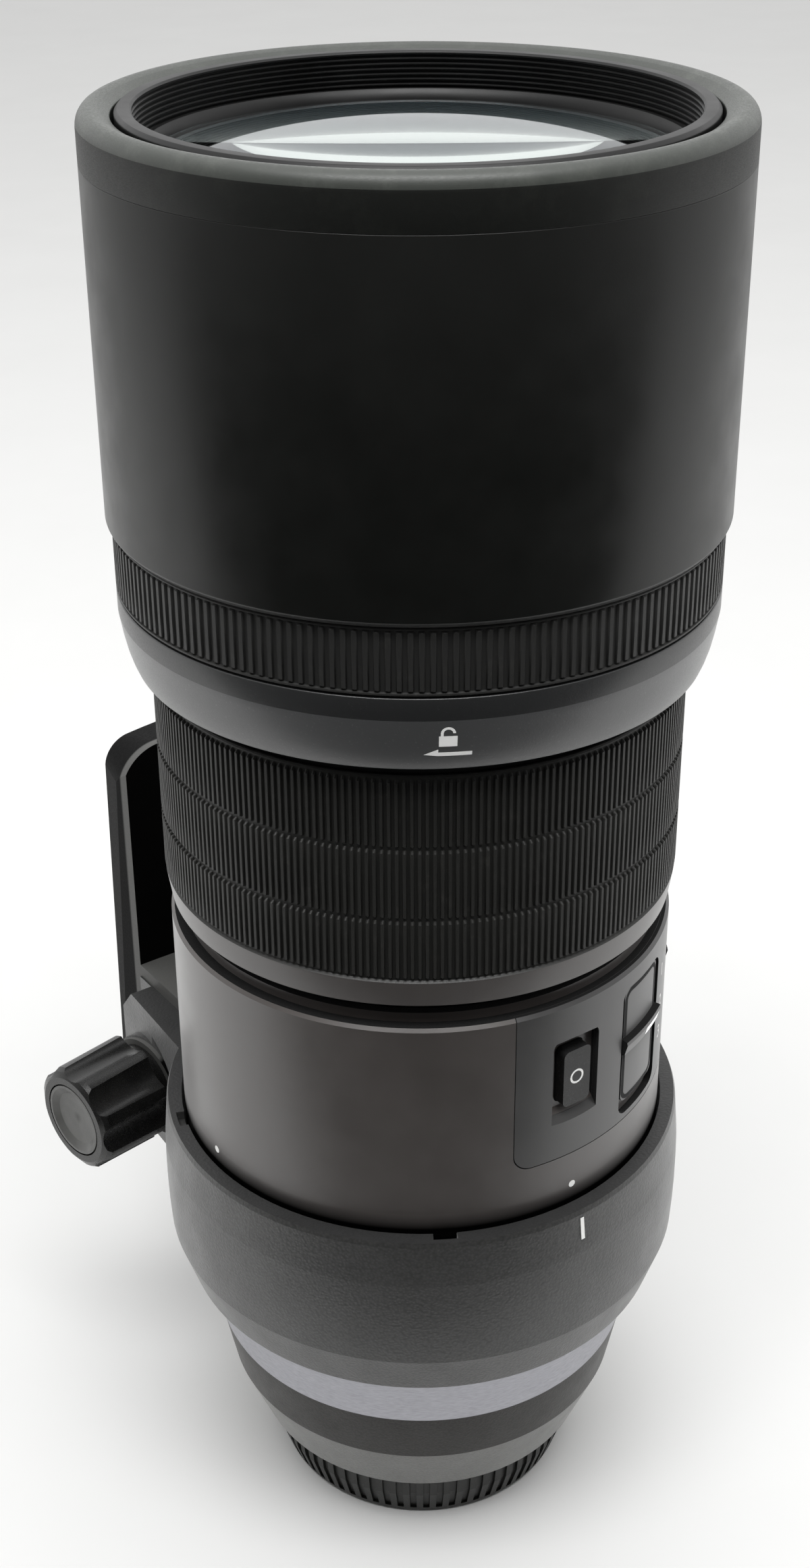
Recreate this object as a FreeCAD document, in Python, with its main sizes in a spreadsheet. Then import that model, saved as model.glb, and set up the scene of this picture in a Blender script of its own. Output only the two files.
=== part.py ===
import FreeCAD, Part
import math
import os

import Sketcher

# Telephoto lens standing on its rear cap, with its sliding hood pushed back.
# Millimetres. The optical axis is +Z, the front glass is up, and the origin is
# the middle of the rear cap's resting face. The control keys face -Y and the
# tripod foot is on the +Y side. An azimuth is counted from -Y towards +X.

doc = FreeCAD.newDocument("TelephotoLens")
sheet = doc.addObject("Spreadsheet::Sheet", "Sizes")
nodes = []


# Sizes and the arithmetic that stays bound to the sheet

class Size:
    """A length or angle that knows its value and the sheet expression for it."""

    def __init__(self, value, text):
        self.value = value
        self.text = text

    def __add__(self, other):
        other = sized(other)
        return Size(self.value + other.value, f"({self.text} + {other.text})")

    __radd__ = __add__

    def __sub__(self, other):
        other = sized(other)
        return Size(self.value - other.value, f"({self.text} - {other.text})")

    def __rsub__(self, other):
        return sized(other) - self

    def __mul__(self, factor):
        return Size(self.value * factor, f"({self.text} * {factor!r})")

    __rmul__ = __mul__

    def __truediv__(self, factor):
        return Size(self.value / factor, f"({self.text} / {factor!r})")

    def __neg__(self):
        return Size(-self.value, f"(-1 * {self.text})")


def sized(item):
    """Wrap a plain number so that it can join the arithmetic."""
    if isinstance(item, Size):
        return item
    return Size(float(item), repr(float(item)))


rows = []


def size(alias, value):
    """Write one driving size into the sheet and return it."""
    row = len(rows) + 1
    rows.append(alias)
    sheet.set(f"A{row}", alias.replace("_", " "))
    sheet.set(f"B{row}", str(value))
    sheet.setAlias(f"B{row}", alias)
    return Size(float(value), f"Sizes.{alias}")


# Heights along the axis, from the rear cap to the front rim

cap_top = size("cap_top", 11.2)
flange_height = size("flange_height", 12.4)
barrel_end = size("barrel_end", 11.5)
barrel_knee = size("barrel_knee", 22.7)
barrel_waist = size("barrel_waist", 33.0)
track_bottom = size("track_bottom", 44.6)
housing_bottom = size("housing_bottom", 70.6)
housing_top = size("housing_top", 115.0)
ring_bottom = size("ring_bottom", 119.1)
ring_top = size("ring_top", 157.4)
shoulder_bottom = size("shoulder_bottom", 160.0)
shoulder_knee = size("shoulder_knee", 168.3)
shoulder_top = size("shoulder_top", 171.6)
lock_top = size("lock_top", 181.7)
hood_bottom = size("hood_bottom", 182.0)
hood_seam = size("hood_seam", 232.9)
rim_height = size("rim_height", 6.8)
cell_depth = size("cell_depth", 25.7)
baffle_seat = size("baffle_seat", 165.0)
front_top = hood_seam + rim_height
cell_seat = front_top - cell_depth

# Radii of the outside, from the rear cap to the front rim

cap_radius = size("cap_radius", 28.1)
knee_radius = size("knee_radius", 34.5)
waist_radius = size("waist_radius", 36.5)
end_radius = size("end_radius", 30.0)
track_radius = size("track_radius", 39.6)
housing_radius = size("housing_radius", 40.5)
ring_radius = size("ring_radius", 41.0)
hood_radius = size("hood_radius", 46.25)
guide_radius = size("guide_radius", 36.6)
chassis_radius = size("chassis_radius", 33.2)

# Steps inwards from the hood, so that the whole front end follows its radius

hood_overhang = size("hood_overhang", 0.85)
shoulder_taper = size("shoulder_taper", 2.0)
lock_wall = size("lock_wall", 2.6)
front_step = size("front_step", 1.8)
thread_wall = size("thread_wall", 2.4)
cell_step = size("cell_step", 0.45)
glass_rim = size("glass_rim", 0.85)
shoulder_radius = hood_radius - hood_overhang
shoulder_foot = shoulder_radius - shoulder_taper
slide_radius = shoulder_radius - lock_wall
front_radius = slide_radius - front_step
thread_radius = front_radius - thread_wall
cell_bore = thread_radius - cell_step
glass_radius = cell_bore - glass_rim

# Tripod collar, clamp knob and foot

collar_bottom = size("collar_bottom", 45.3)
collar_edge = size("collar_edge", 53.0)
collar_top = size("collar_top", 77.0)
collar_radius = size("collar_radius", 44.3)
collar_rim = size("collar_rim", 43.3)
stem_bottom = size("stem_bottom", 50.0)
stem_width = size("stem_width", 60.0)
stem_reach = size("stem_reach", 55.3)
foot_width = size("foot_width", 48.0)
foot_reach = size("foot_reach", 67.0)
foot_top = size("foot_top", 124.6)
foot_taper = size("foot_taper", 14.0)
rail_width = size("rail_width", 38.0)
rail_depth = size("rail_depth", 4.5)
knob_radius = size("knob_radius", 9.9)
knob_length = size("knob_length", 17.3)
flute_depth = size("flute_depth", 1.3)
knob_height = size("knob_height", 62.0)
knob_out = size("knob_out", 29.3)
knob_back = size("knob_back", 44.9)
knob_lean = size("knob_lean", 9.5)

# Clearances

slide_fit = size("slide_fit", 0.08)
fixed_fit = size("fixed_fit", 0.03)
seat_gap = size("seat_gap", 0.3)
free_gap = size("free_gap", 0.5)

# Travels

clutch_travel = size("clutch_travel", 3.8)
button_travel = size("button_travel", 0.8)
switch_travel = size("switch_travel", 2.2)


# Drawing helpers

class Bow:
    """The mid point of an arc between the corners before and after it."""

    def __init__(self, across, up):
        self.across = sized(across)
        self.up = sized(up)


class Dome:
    """An arc centred on the axis between the corners before and after it."""


def dome_middle(first, last):
    """Mid point of the arc whose centre lies on the upright axis."""
    spread = first.x ** 2 - last.x ** 2 + first.y ** 2 - last.y ** 2
    centre = FreeCAD.Vector(0, spread / (2 * (first.y - last.y)), 0)
    halfway = (first + last) / 2 - centre
    return centre + halfway * ((first - centre).Length / halfway.Length)


def place_point(sketch, rules, ties, geo, pos, across, up):
    """Hold one sketch point at its two distances from the origin."""
    for name, axis, length in (("DistanceX", -2, across), ("DistanceY", -1, up)):
        if abs(length.value) < 1e-9:
            rules.append(Sketcher.Constraint("PointOnObject", geo, pos, axis))
            continue
        if length.value > 0:
            rules.append(Sketcher.Constraint(name, -1, 1, geo, pos, length.value))
            ties.append((len(rules) - 1, length.text))
        else:
            rules.append(Sketcher.Constraint(name, geo, pos, -1, 1, -length.value))
            ties.append((len(rules) - 1, (-length).text))


def draw_outline(sketch, outline):
    """Draw a closed outline of corners and bows and bind it to the sheet."""
    corners = []
    bows = {}
    for item in outline:
        if isinstance(item, (Bow, Dome)):
            bows[len(corners) - 1] = item
        else:
            corners.append((sized(item[0]), sized(item[1])))
    count = len(corners)
    spots = [FreeCAD.Vector(a.value, b.value, 0) for a, b in corners]
    shapes = []
    starts = []
    for index in range(count):
        first = spots[index]
        last = spots[(index + 1) % count]
        if index in bows:
            middle = (dome_middle(first, last) if isinstance(bows[index], Dome)
                      else FreeCAD.Vector(bows[index].across.value, bows[index].up.value, 0))
            leftward = (middle - first).cross(last - middle).z > 0
            shapes.append(Part.Arc(first, middle, last) if leftward
                          else Part.Arc(last, middle, first))
            starts.append(1 if leftward else 2)
        else:
            shapes.append(Part.LineSegment(first, last))
            starts.append(1)
    base = sketch.GeometryCount
    sketch.addGeometry(shapes, False)
    rules = []
    ties = []
    for index, (across, up) in enumerate(corners):
        before = (index - 1) % count
        end_of_before = 3 - starts[before]
        rules.append(Sketcher.Constraint(
            "Coincident", base + before, end_of_before, base + index, starts[index]))
        place_point(sketch, rules, ties, base + index, starts[index], across, up)
    for index, bow in bows.items():
        if isinstance(bow, Dome):
            rules.append(Sketcher.Constraint("PointOnObject", base + index, 3, -2))
            continue
        spot = sketch.addGeometry(
            Part.Point(FreeCAD.Vector(bow.across.value, bow.up.value, 0)), True)
        place_point(sketch, rules, ties, spot, 1, bow.across, bow.up)
        rules.append(Sketcher.Constraint("PointOnObject", spot, 1, base + index))
    bind_rules(sketch, rules, ties)


def draw_circle(sketch, across, up, radius):
    """Draw one circle and bind its centre and radius to the sheet."""
    across, up, radius = sized(across), sized(up), sized(radius)
    centre = FreeCAD.Vector(across.value, up.value, 0)
    geo = sketch.addGeometry(
        Part.Circle(centre, FreeCAD.Vector(0, 0, 1), radius.value), False)
    rules = []
    ties = []
    place_point(sketch, rules, ties, geo, 3, across, up)
    rules.append(Sketcher.Constraint("Radius", geo, radius.value))
    ties.append((len(rules) - 1, radius.text))
    bind_rules(sketch, rules, ties)


def bind_rules(sketch, rules, ties):
    """Add the constraints and tie the measured ones to their expressions."""
    offset = sketch.ConstraintCount
    sketch.addConstraint(rules)
    for index, text in ties:
        sketch.setExpression(f"Constraints[{offset + index}]", text)


def new_body(label):
    body = doc.addObject("PartDesign::Body", "Body")
    body.Label = label
    return body


def new_sketch(body, role, height=None):
    """A sketch on one of the body's origin planes, raised by height."""
    sketch = body.newObject("Sketcher::SketchObject", "Sketch")
    plane = [item for item in body.Origin.OriginFeatures if item.Role == role][0]
    sketch.AttachmentSupport = [(plane, "")]
    sketch.MapMode = "FlatFace"
    if height is not None:
        height = sized(height)
        sketch.AttachmentOffset = FreeCAD.Placement(
            FreeCAD.Vector(0, 0, height.value), FreeCAD.Rotation())
        sketch.setExpression("AttachmentOffset.Base.z", height.text)
    return sketch


def finish_feature(body, feature):
    feature.Refine = False
    body.Tip = feature
    return feature


def spin(body, outline, kind="PartDesign::Revolution", angle=360):
    """Turn a half section, given as radius and height, about the axis."""
    sketch = new_sketch(body, "XZ_Plane")
    draw_outline(sketch, outline)
    feature = body.newObject(kind, "Spin")
    feature.Profile = sketch
    feature.ReferenceAxis = (sketch, ["V_Axis"])
    feature.Angle = angle
    return finish_feature(body, feature)


def raise_pad(body, sketch, length, kind="PartDesign::Pad", both_ways=False, back=False):
    """Pad or pocket a sketch by a bound length."""
    length = sized(length)
    feature = body.newObject(kind, "Block")
    feature.Profile = sketch
    feature.Length = length.value
    feature.setExpression("Length", length.text)
    if both_ways:
        feature.SideType = "Symmetric"
    feature.Reversed = back
    return finish_feature(body, feature)


def polar(body, feature, count):
    """Repeat one feature of a body evenly round its upright axis."""
    ring = body.newObject("PartDesign::PolarPattern", "Pattern")
    ring.Originals = [feature]
    ring.Axis = ([item for item in body.Origin.OriginFeatures if item.Role == "Z_Axis"][0], [""])
    ring.Angle = 360
    ring.Occurrences = count
    return finish_feature(body, ring)


def turned(label, outline):
    """A ring, tube or lens turned from one half section."""
    body = new_body(label)
    spin(body, outline)
    return body


def set_pose(thing, place=(0, 0, 0), turn=None, about="Z"):
    """Place a body or primitive at a bound position, turned about one axis."""
    spots = [sized(value) for value in place]
    axes = {"X": (1, 0, 0), "Y": (0, 1, 0), "Z": (0, 0, 1)}
    angle = sized(0 if turn is None else turn)
    thing.Placement = FreeCAD.Placement(
        FreeCAD.Vector(*[spot.value for spot in spots]),
        FreeCAD.Rotation(FreeCAD.Vector(*axes[about]), angle.value))
    for letter, spot in zip("xyz", spots):
        thing.setExpression(f"Placement.Base.{letter}", spot.text)
    return thing


def sector(label, outline, start, end):
    """Part of a ring between two azimuths."""
    body = new_body(label)
    spin(body, outline, angle=end - start)
    return set_pose(body, turn=start - 90)


def box(outline, low, high):
    """A prism over a plan outline between two heights."""
    body = new_body("block")
    sketch = new_sketch(body, "XY_Plane", low)
    draw_outline(sketch, outline)
    raise_pad(body, sketch, sized(high) - low)
    return body


def rectangle(left, right, near, far):
    """Corners of an upright rectangle."""
    return [(left, near), (right, near), (right, far), (left, far)]


def rounded(width, low, high, radius):
    """An upright outline with rounded corners, centred across."""
    half = sized(width) / 2
    low, high, radius = sized(low), sized(high), sized(radius)
    corner = radius * (1 - math.sqrt(0.5))
    return [
        (half - radius, low), Bow(half - corner, low + corner), (half, low + radius),
        (half, high - radius), Bow(half - corner, high - corner), (half - radius, high),
        (radius - half, high), Bow(corner - half, high - corner), (-half, high - radius),
        (-half, low + radius), Bow(corner - half, low + corner), (radius - half, low)]


def key_block(outline, inner, outer, azimuth=0):
    """A prism on the -Y side between two distances, turned to an azimuth."""
    body = new_body("key block")
    sketch = new_sketch(body, "XZ_Plane", inner)
    draw_outline(sketch, outline)
    raise_pad(body, sketch, sized(outer) - inner)
    return set_pose(body, turn=azimuth)


def rod(radius, length, place, turn=0, about="Z"):
    """A round bar from a primitive cylinder."""
    bar = doc.addObject("Part::Cylinder", "Rod")
    radius, length = sized(radius), sized(length)
    bar.Radius, bar.Height = radius.value, length.value
    bar.setExpression("Radius", radius.text)
    bar.setExpression("Height", length.text)
    return set_pose(bar, place, turn, about)


def around(radius, azimuth):
    """X and Y of a point at a radius and azimuth."""
    radius = sized(radius)
    angle = math.radians(azimuth)
    return radius * math.sin(angle), radius * -math.cos(angle)


def joined(label, pieces):
    union = doc.addObject("Part::MultiFuse", "Joined")
    union.Shapes = pieces
    union.Label = label
    return union


def cut(label, base, tools):
    """Base minus one or more tools."""
    result = doc.addObject("Part::Cut", "Cut")
    result.Base = base
    result.Tool = tools[0] if len(tools) == 1 else joined("tools", tools)
    result.Label = label
    return result


def shared(label, pieces):
    """What two or more pieces have in common."""
    overlap = doc.addObject("Part::MultiCommon", "Shared")
    overlap.Shapes = pieces
    overlap.Label = label
    return overlap


def grouped(label, pieces):
    """Separate solids that share one node."""
    group = doc.addObject("Part::Compound", "Group")
    group.Links = pieces
    group.Label = label
    return group


def node(thing, label=None):
    """Mark a finished sub-part for export."""
    if label is not None:
        thing.Label = label
    nodes.append(thing)
    return thing


# Rear cap

def make_rear_cap():
    """Moulded cap with a gripped wall, a floor and three bayonet lugs."""
    ribs = 72
    wall = 2.0
    floor = 1.6
    body = new_body("cap shell")
    spin(body, [
        (0, 0), (cap_radius - 3.0, 0), (cap_radius - 2.2, 0.8), (cap_radius - 0.5, 6.0),
        (cap_radius, cap_top - 0.6), (cap_radius - 0.4, cap_top),
        (cap_radius - 0.7, cap_top), (cap_radius - 0.7, flange_height),
        (cap_radius - wall, flange_height), (cap_radius - wall - 1.2, floor), (0, floor)])
    slot = spin(body, [
        (cap_radius - 2.5, 1.4), (cap_radius + 0.5, 1.4), (cap_radius + 0.5, cap_top - 1.0),
        (cap_radius - 0.55, cap_top - 1.0), (cap_radius - 1.0, 6.0)],
        kind="PartDesign::Groove", angle=180 / ribs)
    polar(body, slot, ribs)
    lugs = []
    for index in range(3):
        start = 96 + index * 120
        lugs.append(sector("lug", [
            (22.2, 7.3), (cap_radius - wall + 0.3, 7.3), (cap_radius - wall + 0.3, 8.8),
            (22.2, 8.8)], start, start + 36))
    node(joined("rear_cap", [body] + lugs))


# Bayonet mount and the pieces behind it

def make_mount():
    """Metal bayonet flange with three claws, its screws and its seal."""
    tube = 21.4
    rim = 27.8
    plate_top = flange_height + 2.0
    screw_circle = 24.6
    claws = [sector("claw", [
        (tube - 0.4, 5.4), (23.4, 5.4), (23.4, 7.0), (tube - 0.4, 7.0)],
        90 + index * 120, 138 + index * 120) for index in range(3)]
    plate = turned("plate", [
        (tube - 1.8, 5.0), (tube, 5.0), (tube, flange_height), (rim, flange_height),
        (rim, plate_top), (tube - 1.8, plate_top)])
    wells = []
    screws = []
    for index in range(4):
        x, y = around(screw_circle, 45 + index * 90)
        wells.append(rod(1.7, 1.0, (x, y, flange_height)))
        wells.append(rod(1.1, 3.0, (x, y, flange_height)))
        screws.append(joined("screw", [
            rod(1.5, 0.9, (x, y, flange_height + 0.1)),
            rod(0.8, 4.0, (x, y, flange_height + 0.5))]))
    node(cut("mount_plate", joined("plate and claws", [plate] + claws), wells))
    node(grouped("mount_screws", screws))
    node(turned("mount_seal", [
        (rim + seat_gap, flange_height - 1.2), (rim + seat_gap + 0.9, flange_height - 0.9),
        (rim + seat_gap + 0.9, plate_top), (rim + seat_gap, plate_top)]))


def make_contacts():
    """Contact block inside the bayonet tube with a row of spring pins."""
    pins = []
    holes = []
    for index in range(11):
        x, y = around(17.2, -21 + index * 4.2)
        pins.append(rod(0.42, 3.0, (x, y, 7.6)))
        holes.append(rod(0.46, 2.7, (x, y, 7.9)))
    block = sector("block", [
        (15.4, 7.9), (19.0, 7.9), (19.0, flange_height + 2.0), (15.4, flange_height + 2.0)],
        -27, 27)
    node(cut("contact_block", block, holes))
    node(grouped("contact_pins", pins))


def make_rear_optics():
    """Rear cell and element with the light baffle behind them."""
    seat = flange_height + 5.0
    node(turned("rear_baffle", [
        (14.0, flange_height + 2.0), (22.0, flange_height + 2.0),
        (22.0, flange_height + 3.2), (14.0, flange_height + 3.2)]))
    node(turned("rear_cell", [
        (15.0, flange_height + 3.2), (22.2, flange_height + 3.2), (22.2, seat), (28.5, seat),
        (28.5, seat + 1.6), (19.4, seat + 1.6), (19.4, seat + 14), (16.4, seat + 14),
        (16.4, seat + 2.0), (15.0, seat + 2.0)]))
    node(turned("rear_element", [
        (0, seat + 2.0), (15.7, seat + 2.0), (16.1, seat + 2.4), (16.1, seat + 5.5),
        (14.9, seat + 6.7), (0, seat + 6.7)]))


def make_rear_barrel():
    """Tapered rear barrel with its screw holes and the collar's track."""
    seat = flange_height + 2.0
    wall = 2.3
    shell = turned("rear barrel shell", [
        (end_radius - 0.6, barrel_end), (end_radius, barrel_end), (knee_radius, barrel_knee),
        (waist_radius, barrel_waist), Bow(track_radius - 2.2, track_bottom - 5.6),
        (track_radius - 0.7, track_bottom), (track_radius, track_bottom + 0.4),
        (track_radius, housing_bottom), (guide_radius - 0.2, housing_bottom),
        (guide_radius - 0.2, track_bottom - 1.6), (waist_radius - wall, barrel_waist),
        (knee_radius - wall, barrel_knee), (end_radius - 0.2, seat + 3.0),
        (22.6, seat + 3.0), (22.6, seat), (end_radius - 0.6, seat)])
    holes = []
    for index in range(4):
        x, y = around(24.6, 45 + index * 90)
        holes.append(rod(1.1, 4.4, (x, y, seat - 0.5)))
    node(cut("rear_barrel", shell, holes))


# Tripod collar with its foot and clamp

def on_knob_axis(thing, along=0):
    """Place a piece on the clamp screw's axis, measured out from the boss."""
    lean = FreeCAD.Rotation(knob_lean.value, -90, 0)
    along = sized(along)
    run, rise = math.cos(math.radians(knob_lean.value)), math.sin(math.radians(knob_lean.value))
    thing.Placement = FreeCAD.Placement(FreeCAD.Vector(
        -knob_out.value - along.value * run, knob_back.value - along.value * rise,
        knob_height.value), lean)
    thing.setExpression(
        "Placement.Base.x",
        f"-1 * Sizes.knob_out - {along.text} * cos(Sizes.knob_lean * 1 deg)")
    thing.setExpression(
        "Placement.Base.y",
        f"Sizes.knob_back - {along.text} * sin(Sizes.knob_lean * 1 deg)")
    thing.setExpression("Placement.Base.z", "Sizes.knob_height")
    return thing


def knob_bar(radius, start, end):
    """A cylinder on the clamp screw's axis."""
    bar = doc.addObject("Part::Cylinder", "Rod")
    radius = sized(radius)
    bar.Radius = radius.value
    bar.setExpression("Radius", radius.text)
    length = sized(end) - start
    bar.Height = length.value
    bar.setExpression("Height", length.text)
    return on_knob_axis(bar, start)


def stem_holes(radius, start, length):
    """The four foot screws' places as cylinders pointing to +Y."""
    bars = []
    for side in (-1, 1):
        for height in (stem_bottom + 3.6, collar_top - 5.6):
            bars.append(rod(radius, length, (11.0 * side, start, height), -90, "X"))
    return bars


def make_collar():
    """Ring and stem in one casting, with a lined bore and a boss for the knob."""
    bore = track_radius + slide_fit
    groove = track_radius + 0.9
    half = stem_width / 2
    body = new_body("collar casting")
    plan = new_sketch(body, "XY_Plane", stem_bottom)
    draw_outline(plan, [
        (-half - 0.4, 22.0), (half + 0.4, 22.0), (half - 1.8, stem_reach),
        (1.8 - half, stem_reach)])
    raise_pad(body, plan, collar_top - stem_bottom)
    spin(body, [
        (0, collar_bottom), (collar_radius - 2.8, collar_bottom),
        (collar_radius - 0.3, collar_edge), Bow(collar_radius, collar_edge + 7),
        (collar_radius - 0.1, collar_top - 8), (collar_rim + 0.3, collar_top - 0.8),
        (collar_rim, collar_top), (0, collar_top)])
    spin(body, [
        (0, collar_bottom - 1), (bore, collar_bottom - 1), (bore, stem_bottom),
        (groove, stem_bottom), (groove, housing_bottom - 4.6), (bore, housing_bottom - 4.6),
        (bore, housing_bottom - 0.5), (housing_radius + free_gap, housing_bottom - 0.5),
        (housing_radius + free_gap, collar_top + 1), (0, collar_top + 1)],
        kind="PartDesign::Groove")
    for near, far in ((foot_width / 2 + seat_gap, half + 3), (-half - 3, -foot_width / 2 - seat_gap)):
        corner = new_sketch(body, "YZ_Plane", near)
        draw_outline(corner, [
            (stem_reach - 5.0, collar_top + 1), (stem_reach + 1, collar_top - 6.0),
            (stem_reach + 1, collar_top + 1)])
        raise_pad(body, corner, far - near, kind="PartDesign::Pocket", back=True)
    notches = []
    for azimuth in (-109.0, -30.3):
        notches.append(sector("notch", [
            (housing_radius, collar_top - 1.6), (housing_radius + 1.9, collar_top - 1.6),
            (housing_radius + 1.9, collar_top + 1), (housing_radius, collar_top + 1)],
            azimuth - 2.6, azimuth + 2.6))
    boss = knob_bar(8.8, -9.0, 0)
    screw_bore = knob_bar(3.0 + slide_fit, -26.0, 1.0)
    brake_bore = brake_bar(3.5 + slide_fit, track_radius + 0.7, 51.0)
    spot_face = knob_bar(knob_radius + 0.6, 0, 14.0)
    casting = joined("casting and boss", [body, boss])
    node(cut("tripod_collar", casting,
             [spot_face, screw_bore, brake_bore] + notches + stem_holes(1.9, 44.0, 13.0)))
    node(turned("collar_liner", [
        (bore, stem_bottom), (groove - fixed_fit, stem_bottom),
        (groove - fixed_fit, housing_bottom - 4.6), (bore, housing_bottom - 4.6)]))


def brake_bar(radius, start, end):
    """A radial cylinder under the clamp screw's tip."""
    bar = doc.addObject("Part::Cylinder", "Rod")
    radius, start, end = sized(radius), sized(start), sized(end)
    bar.Radius, bar.Height = radius.value, end.value - start.value
    bar.setExpression("Radius", radius.text)
    bar.setExpression("Height", (end - start).text)
    run, rise = math.cos(math.radians(knob_lean.value)), math.sin(math.radians(knob_lean.value))
    bar.Placement = FreeCAD.Placement(
        FreeCAD.Vector(-start.value * rise, start.value * run, knob_height.value),
        FreeCAD.Rotation(knob_lean.value, 0, -90))
    bar.setExpression("Placement.Base.x", f"-1 * {start.text} * sin(Sizes.knob_lean * 1 deg)")
    bar.setExpression("Placement.Base.y", f"{start.text} * cos(Sizes.knob_lean * 1 deg)")
    bar.setExpression("Placement.Base.z", "Sizes.knob_height")
    return bar


def make_clamp():
    """Fluted knob with its dished cover, its screw and the brake pin."""
    flutes = 8
    lobe_start = 3.2
    hollow = 5.06
    body = new_body("knob blank")
    spin(body, [
        (0, 0.9), (7.4, 0.9), (7.4, lobe_start), (knob_radius + 0.2, lobe_start),
        (knob_radius + 0.2, lobe_start + 0.6), (knob_radius - 0.1, knob_length - 1.3),
        (knob_radius - 0.6, knob_length - 0.5), (knob_radius - 1.6, knob_length),
        (7.0, knob_length), (7.0, knob_length - 1.6), (0, knob_length - 1.6)])
    cutter = new_sketch(body, "XY_Plane", lobe_start - 0.4)
    draw_circle(cutter, knob_radius + hollow - flute_depth, 0, hollow)
    flute = raise_pad(body, cutter, knob_length, kind="PartDesign::Pocket", back=True)
    polar(body, flute, flutes)
    on_knob_axis(body)
    node(cut("clamp_knob", body, [knob_bar(3.0 + fixed_fit, -1, 11.0)]))
    cover = turned("knob_cover", [
        (0, knob_length - 1.6), (6.7, knob_length - 1.6), (6.7, knob_length), (6.2, knob_length),
        (5.0, knob_length - 0.8), Dome(), (0, knob_length - 1.1)])
    node(on_knob_axis(cover))
    stud = turned("clamp_screw", [
        (0, -21.5), (1.2, -21.5), (3.0, -18.0), (3.0, 11.0), (0, 11.0)])
    node(on_knob_axis(stud))
    washer = turned("knob_washer", [(3.3, 0), (8.4, 0), (8.4, 0.8), (3.3, 0.8)])
    node(on_knob_axis(washer))
    pin = brake_bar(3.5, track_radius + 1.0, 45.8)
    node(pin, "brake_pin")


def make_foot():
    """Foot with a forward arm, a dovetail rail and a tongue over the stem."""
    half = foot_width / 2
    neck = rail_width / 2 - 3.0
    arm = new_body("foot arm")
    face = new_sketch(arm, "XZ_Plane", -stem_reach)
    draw_outline(face, [
        (-half - 2.2, stem_bottom), (half + 2.2, stem_bottom), (half + 1.0, foot_top - 8.6),
        Bow(half - 1.4, foot_top - 3.6), (half - 6.6, foot_top - 1.1),
        Bow(0, foot_top), (6.6 - half, foot_top - 1.1),
        Bow(1.4 - half, foot_top - 3.6), (-half - 1.0, foot_top - 8.6)])
    block = raise_pad(arm, face, foot_reach - stem_reach, back=True)
    block.TaperAngle = -foot_taper.value
    block.setExpression("TaperAngle", "-1 * Sizes.foot_taper")
    for side in (-1, 1):
        flank = new_sketch(arm, "XY_Plane", stem_bottom - 1)
        draw_outline(flank, rectangle(
            half * side, (half + 4) * side, stem_reach - 1, foot_reach + 1))
        raise_pad(arm, flank, foot_top, kind="PartDesign::Pocket", back=True)
    rail = new_sketch(arm, "XY_Plane", stem_bottom + 3.5)
    draw_outline(rail, [
        (-neck, foot_reach - 0.5), (-neck, foot_reach + 0.8),
        (-rail_width / 2, foot_reach + rail_depth - 1.2),
        (-rail_width / 2, foot_reach + rail_depth), (rail_width / 2, foot_reach + rail_depth),
        (rail_width / 2, foot_reach + rail_depth - 1.2), (neck, foot_reach + 0.8),
        (neck, foot_reach - 0.5)])
    raise_pad(arm, rail, foot_top - stem_bottom - 17.5)
    tongue = new_sketch(arm, "XY_Plane", collar_top)
    sweep = collar_radius + 0.5
    near = sweep * 0.84
    draw_outline(tongue, [
        (-half, stem_reach), (-half, near), Bow(0, sweep), (half, near), (half, stem_reach)])
    raise_pad(arm, tongue, 2.4)
    tools = [bar for bar in stem_holes(2.2, stem_reach - 1, 20.0)]
    tools += stem_holes(3.6, foot_reach - 2, 10.0)
    for height in (foot_top - 22.0, foot_top - 38.0):
        tools.append(rod(5.0 + fixed_fit, 8.0, (0, foot_reach + rail_depth - 7.0, height), -90, "X"))
    node(cut("tripod_foot", arm, tools))
    screws = []
    for head, shank in zip(stem_holes(3.3, foot_reach - 2, 3.6), stem_holes(1.7, 46.0, 21.0)):
        screws.append(joined("screw", [head, shank]))
    node(grouped("foot_screws", screws))
    bushes = []
    for height, bore in ((foot_top - 22.0, 2.6), (foot_top - 38.0, 3.9)):
        outer = rod(5.0, 6.8, (0, foot_reach + rail_depth - 7.0, height), -90, "X")
        inner = rod(bore, 9.0, (0, foot_reach + rail_depth - 8.0, height), -90, "X")
        bushes.append(cut("bush", outer, [inner]))
    node(grouped("tripod_bushes", bushes))


# Switch housing, control panel and keys

panel_start, panel_end = -15.0, 95.0
key_azimuth = 0.6
limiter_azimuth = 24.35
steady_azimuth = 65.15
panel_low = size("panel_low", 86.4)
window_width = size("window_width", 12.9)
window_low = size("window_low", 87.6)
window_high = size("window_high", 111.6)


def panel_block(fit):
    """The panel's room in the housing, with its lower front corner rounded."""
    turn = fit / 40.5 * 180 / math.pi
    block = sector("panel block", [
        (housing_radius - 1.1, panel_low + fit), (housing_radius + 1, panel_low + fit),
        (housing_radius + 1, housing_top + 1), (housing_radius - 1.1, housing_top + 1)],
        panel_start + turn, panel_end - turn)
    corner = key_block([
        (-1.0, panel_low - 1), (3.0, panel_low - 1), (3.0, panel_low + fit),
        Bow(0.88 + fit, panel_low + 0.88 + fit), (fit, panel_low + 3.0), (-1.0, panel_low + 3.0)],
        36.0, 43.0, panel_start)
    return cut("panel room", block, [corner])


def key_scoop():
    """Window round the function key, sloped at its top and bottom."""
    slope = new_body("scoop slope")
    side = new_sketch(slope, "YZ_Plane")
    draw_outline(side, [
        (-42.5, 91.0), (-38.5, 95.2), (-38.5, 107.0), (-42.5, 110.0)])
    raise_pad(slope, side, 12.0, both_ways=True)
    return shared("key scoop", [slope, key_block(rounded(8.9, 91.9, 109.0, 1.8), 38.0, 42.5, key_azimuth)])


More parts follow.
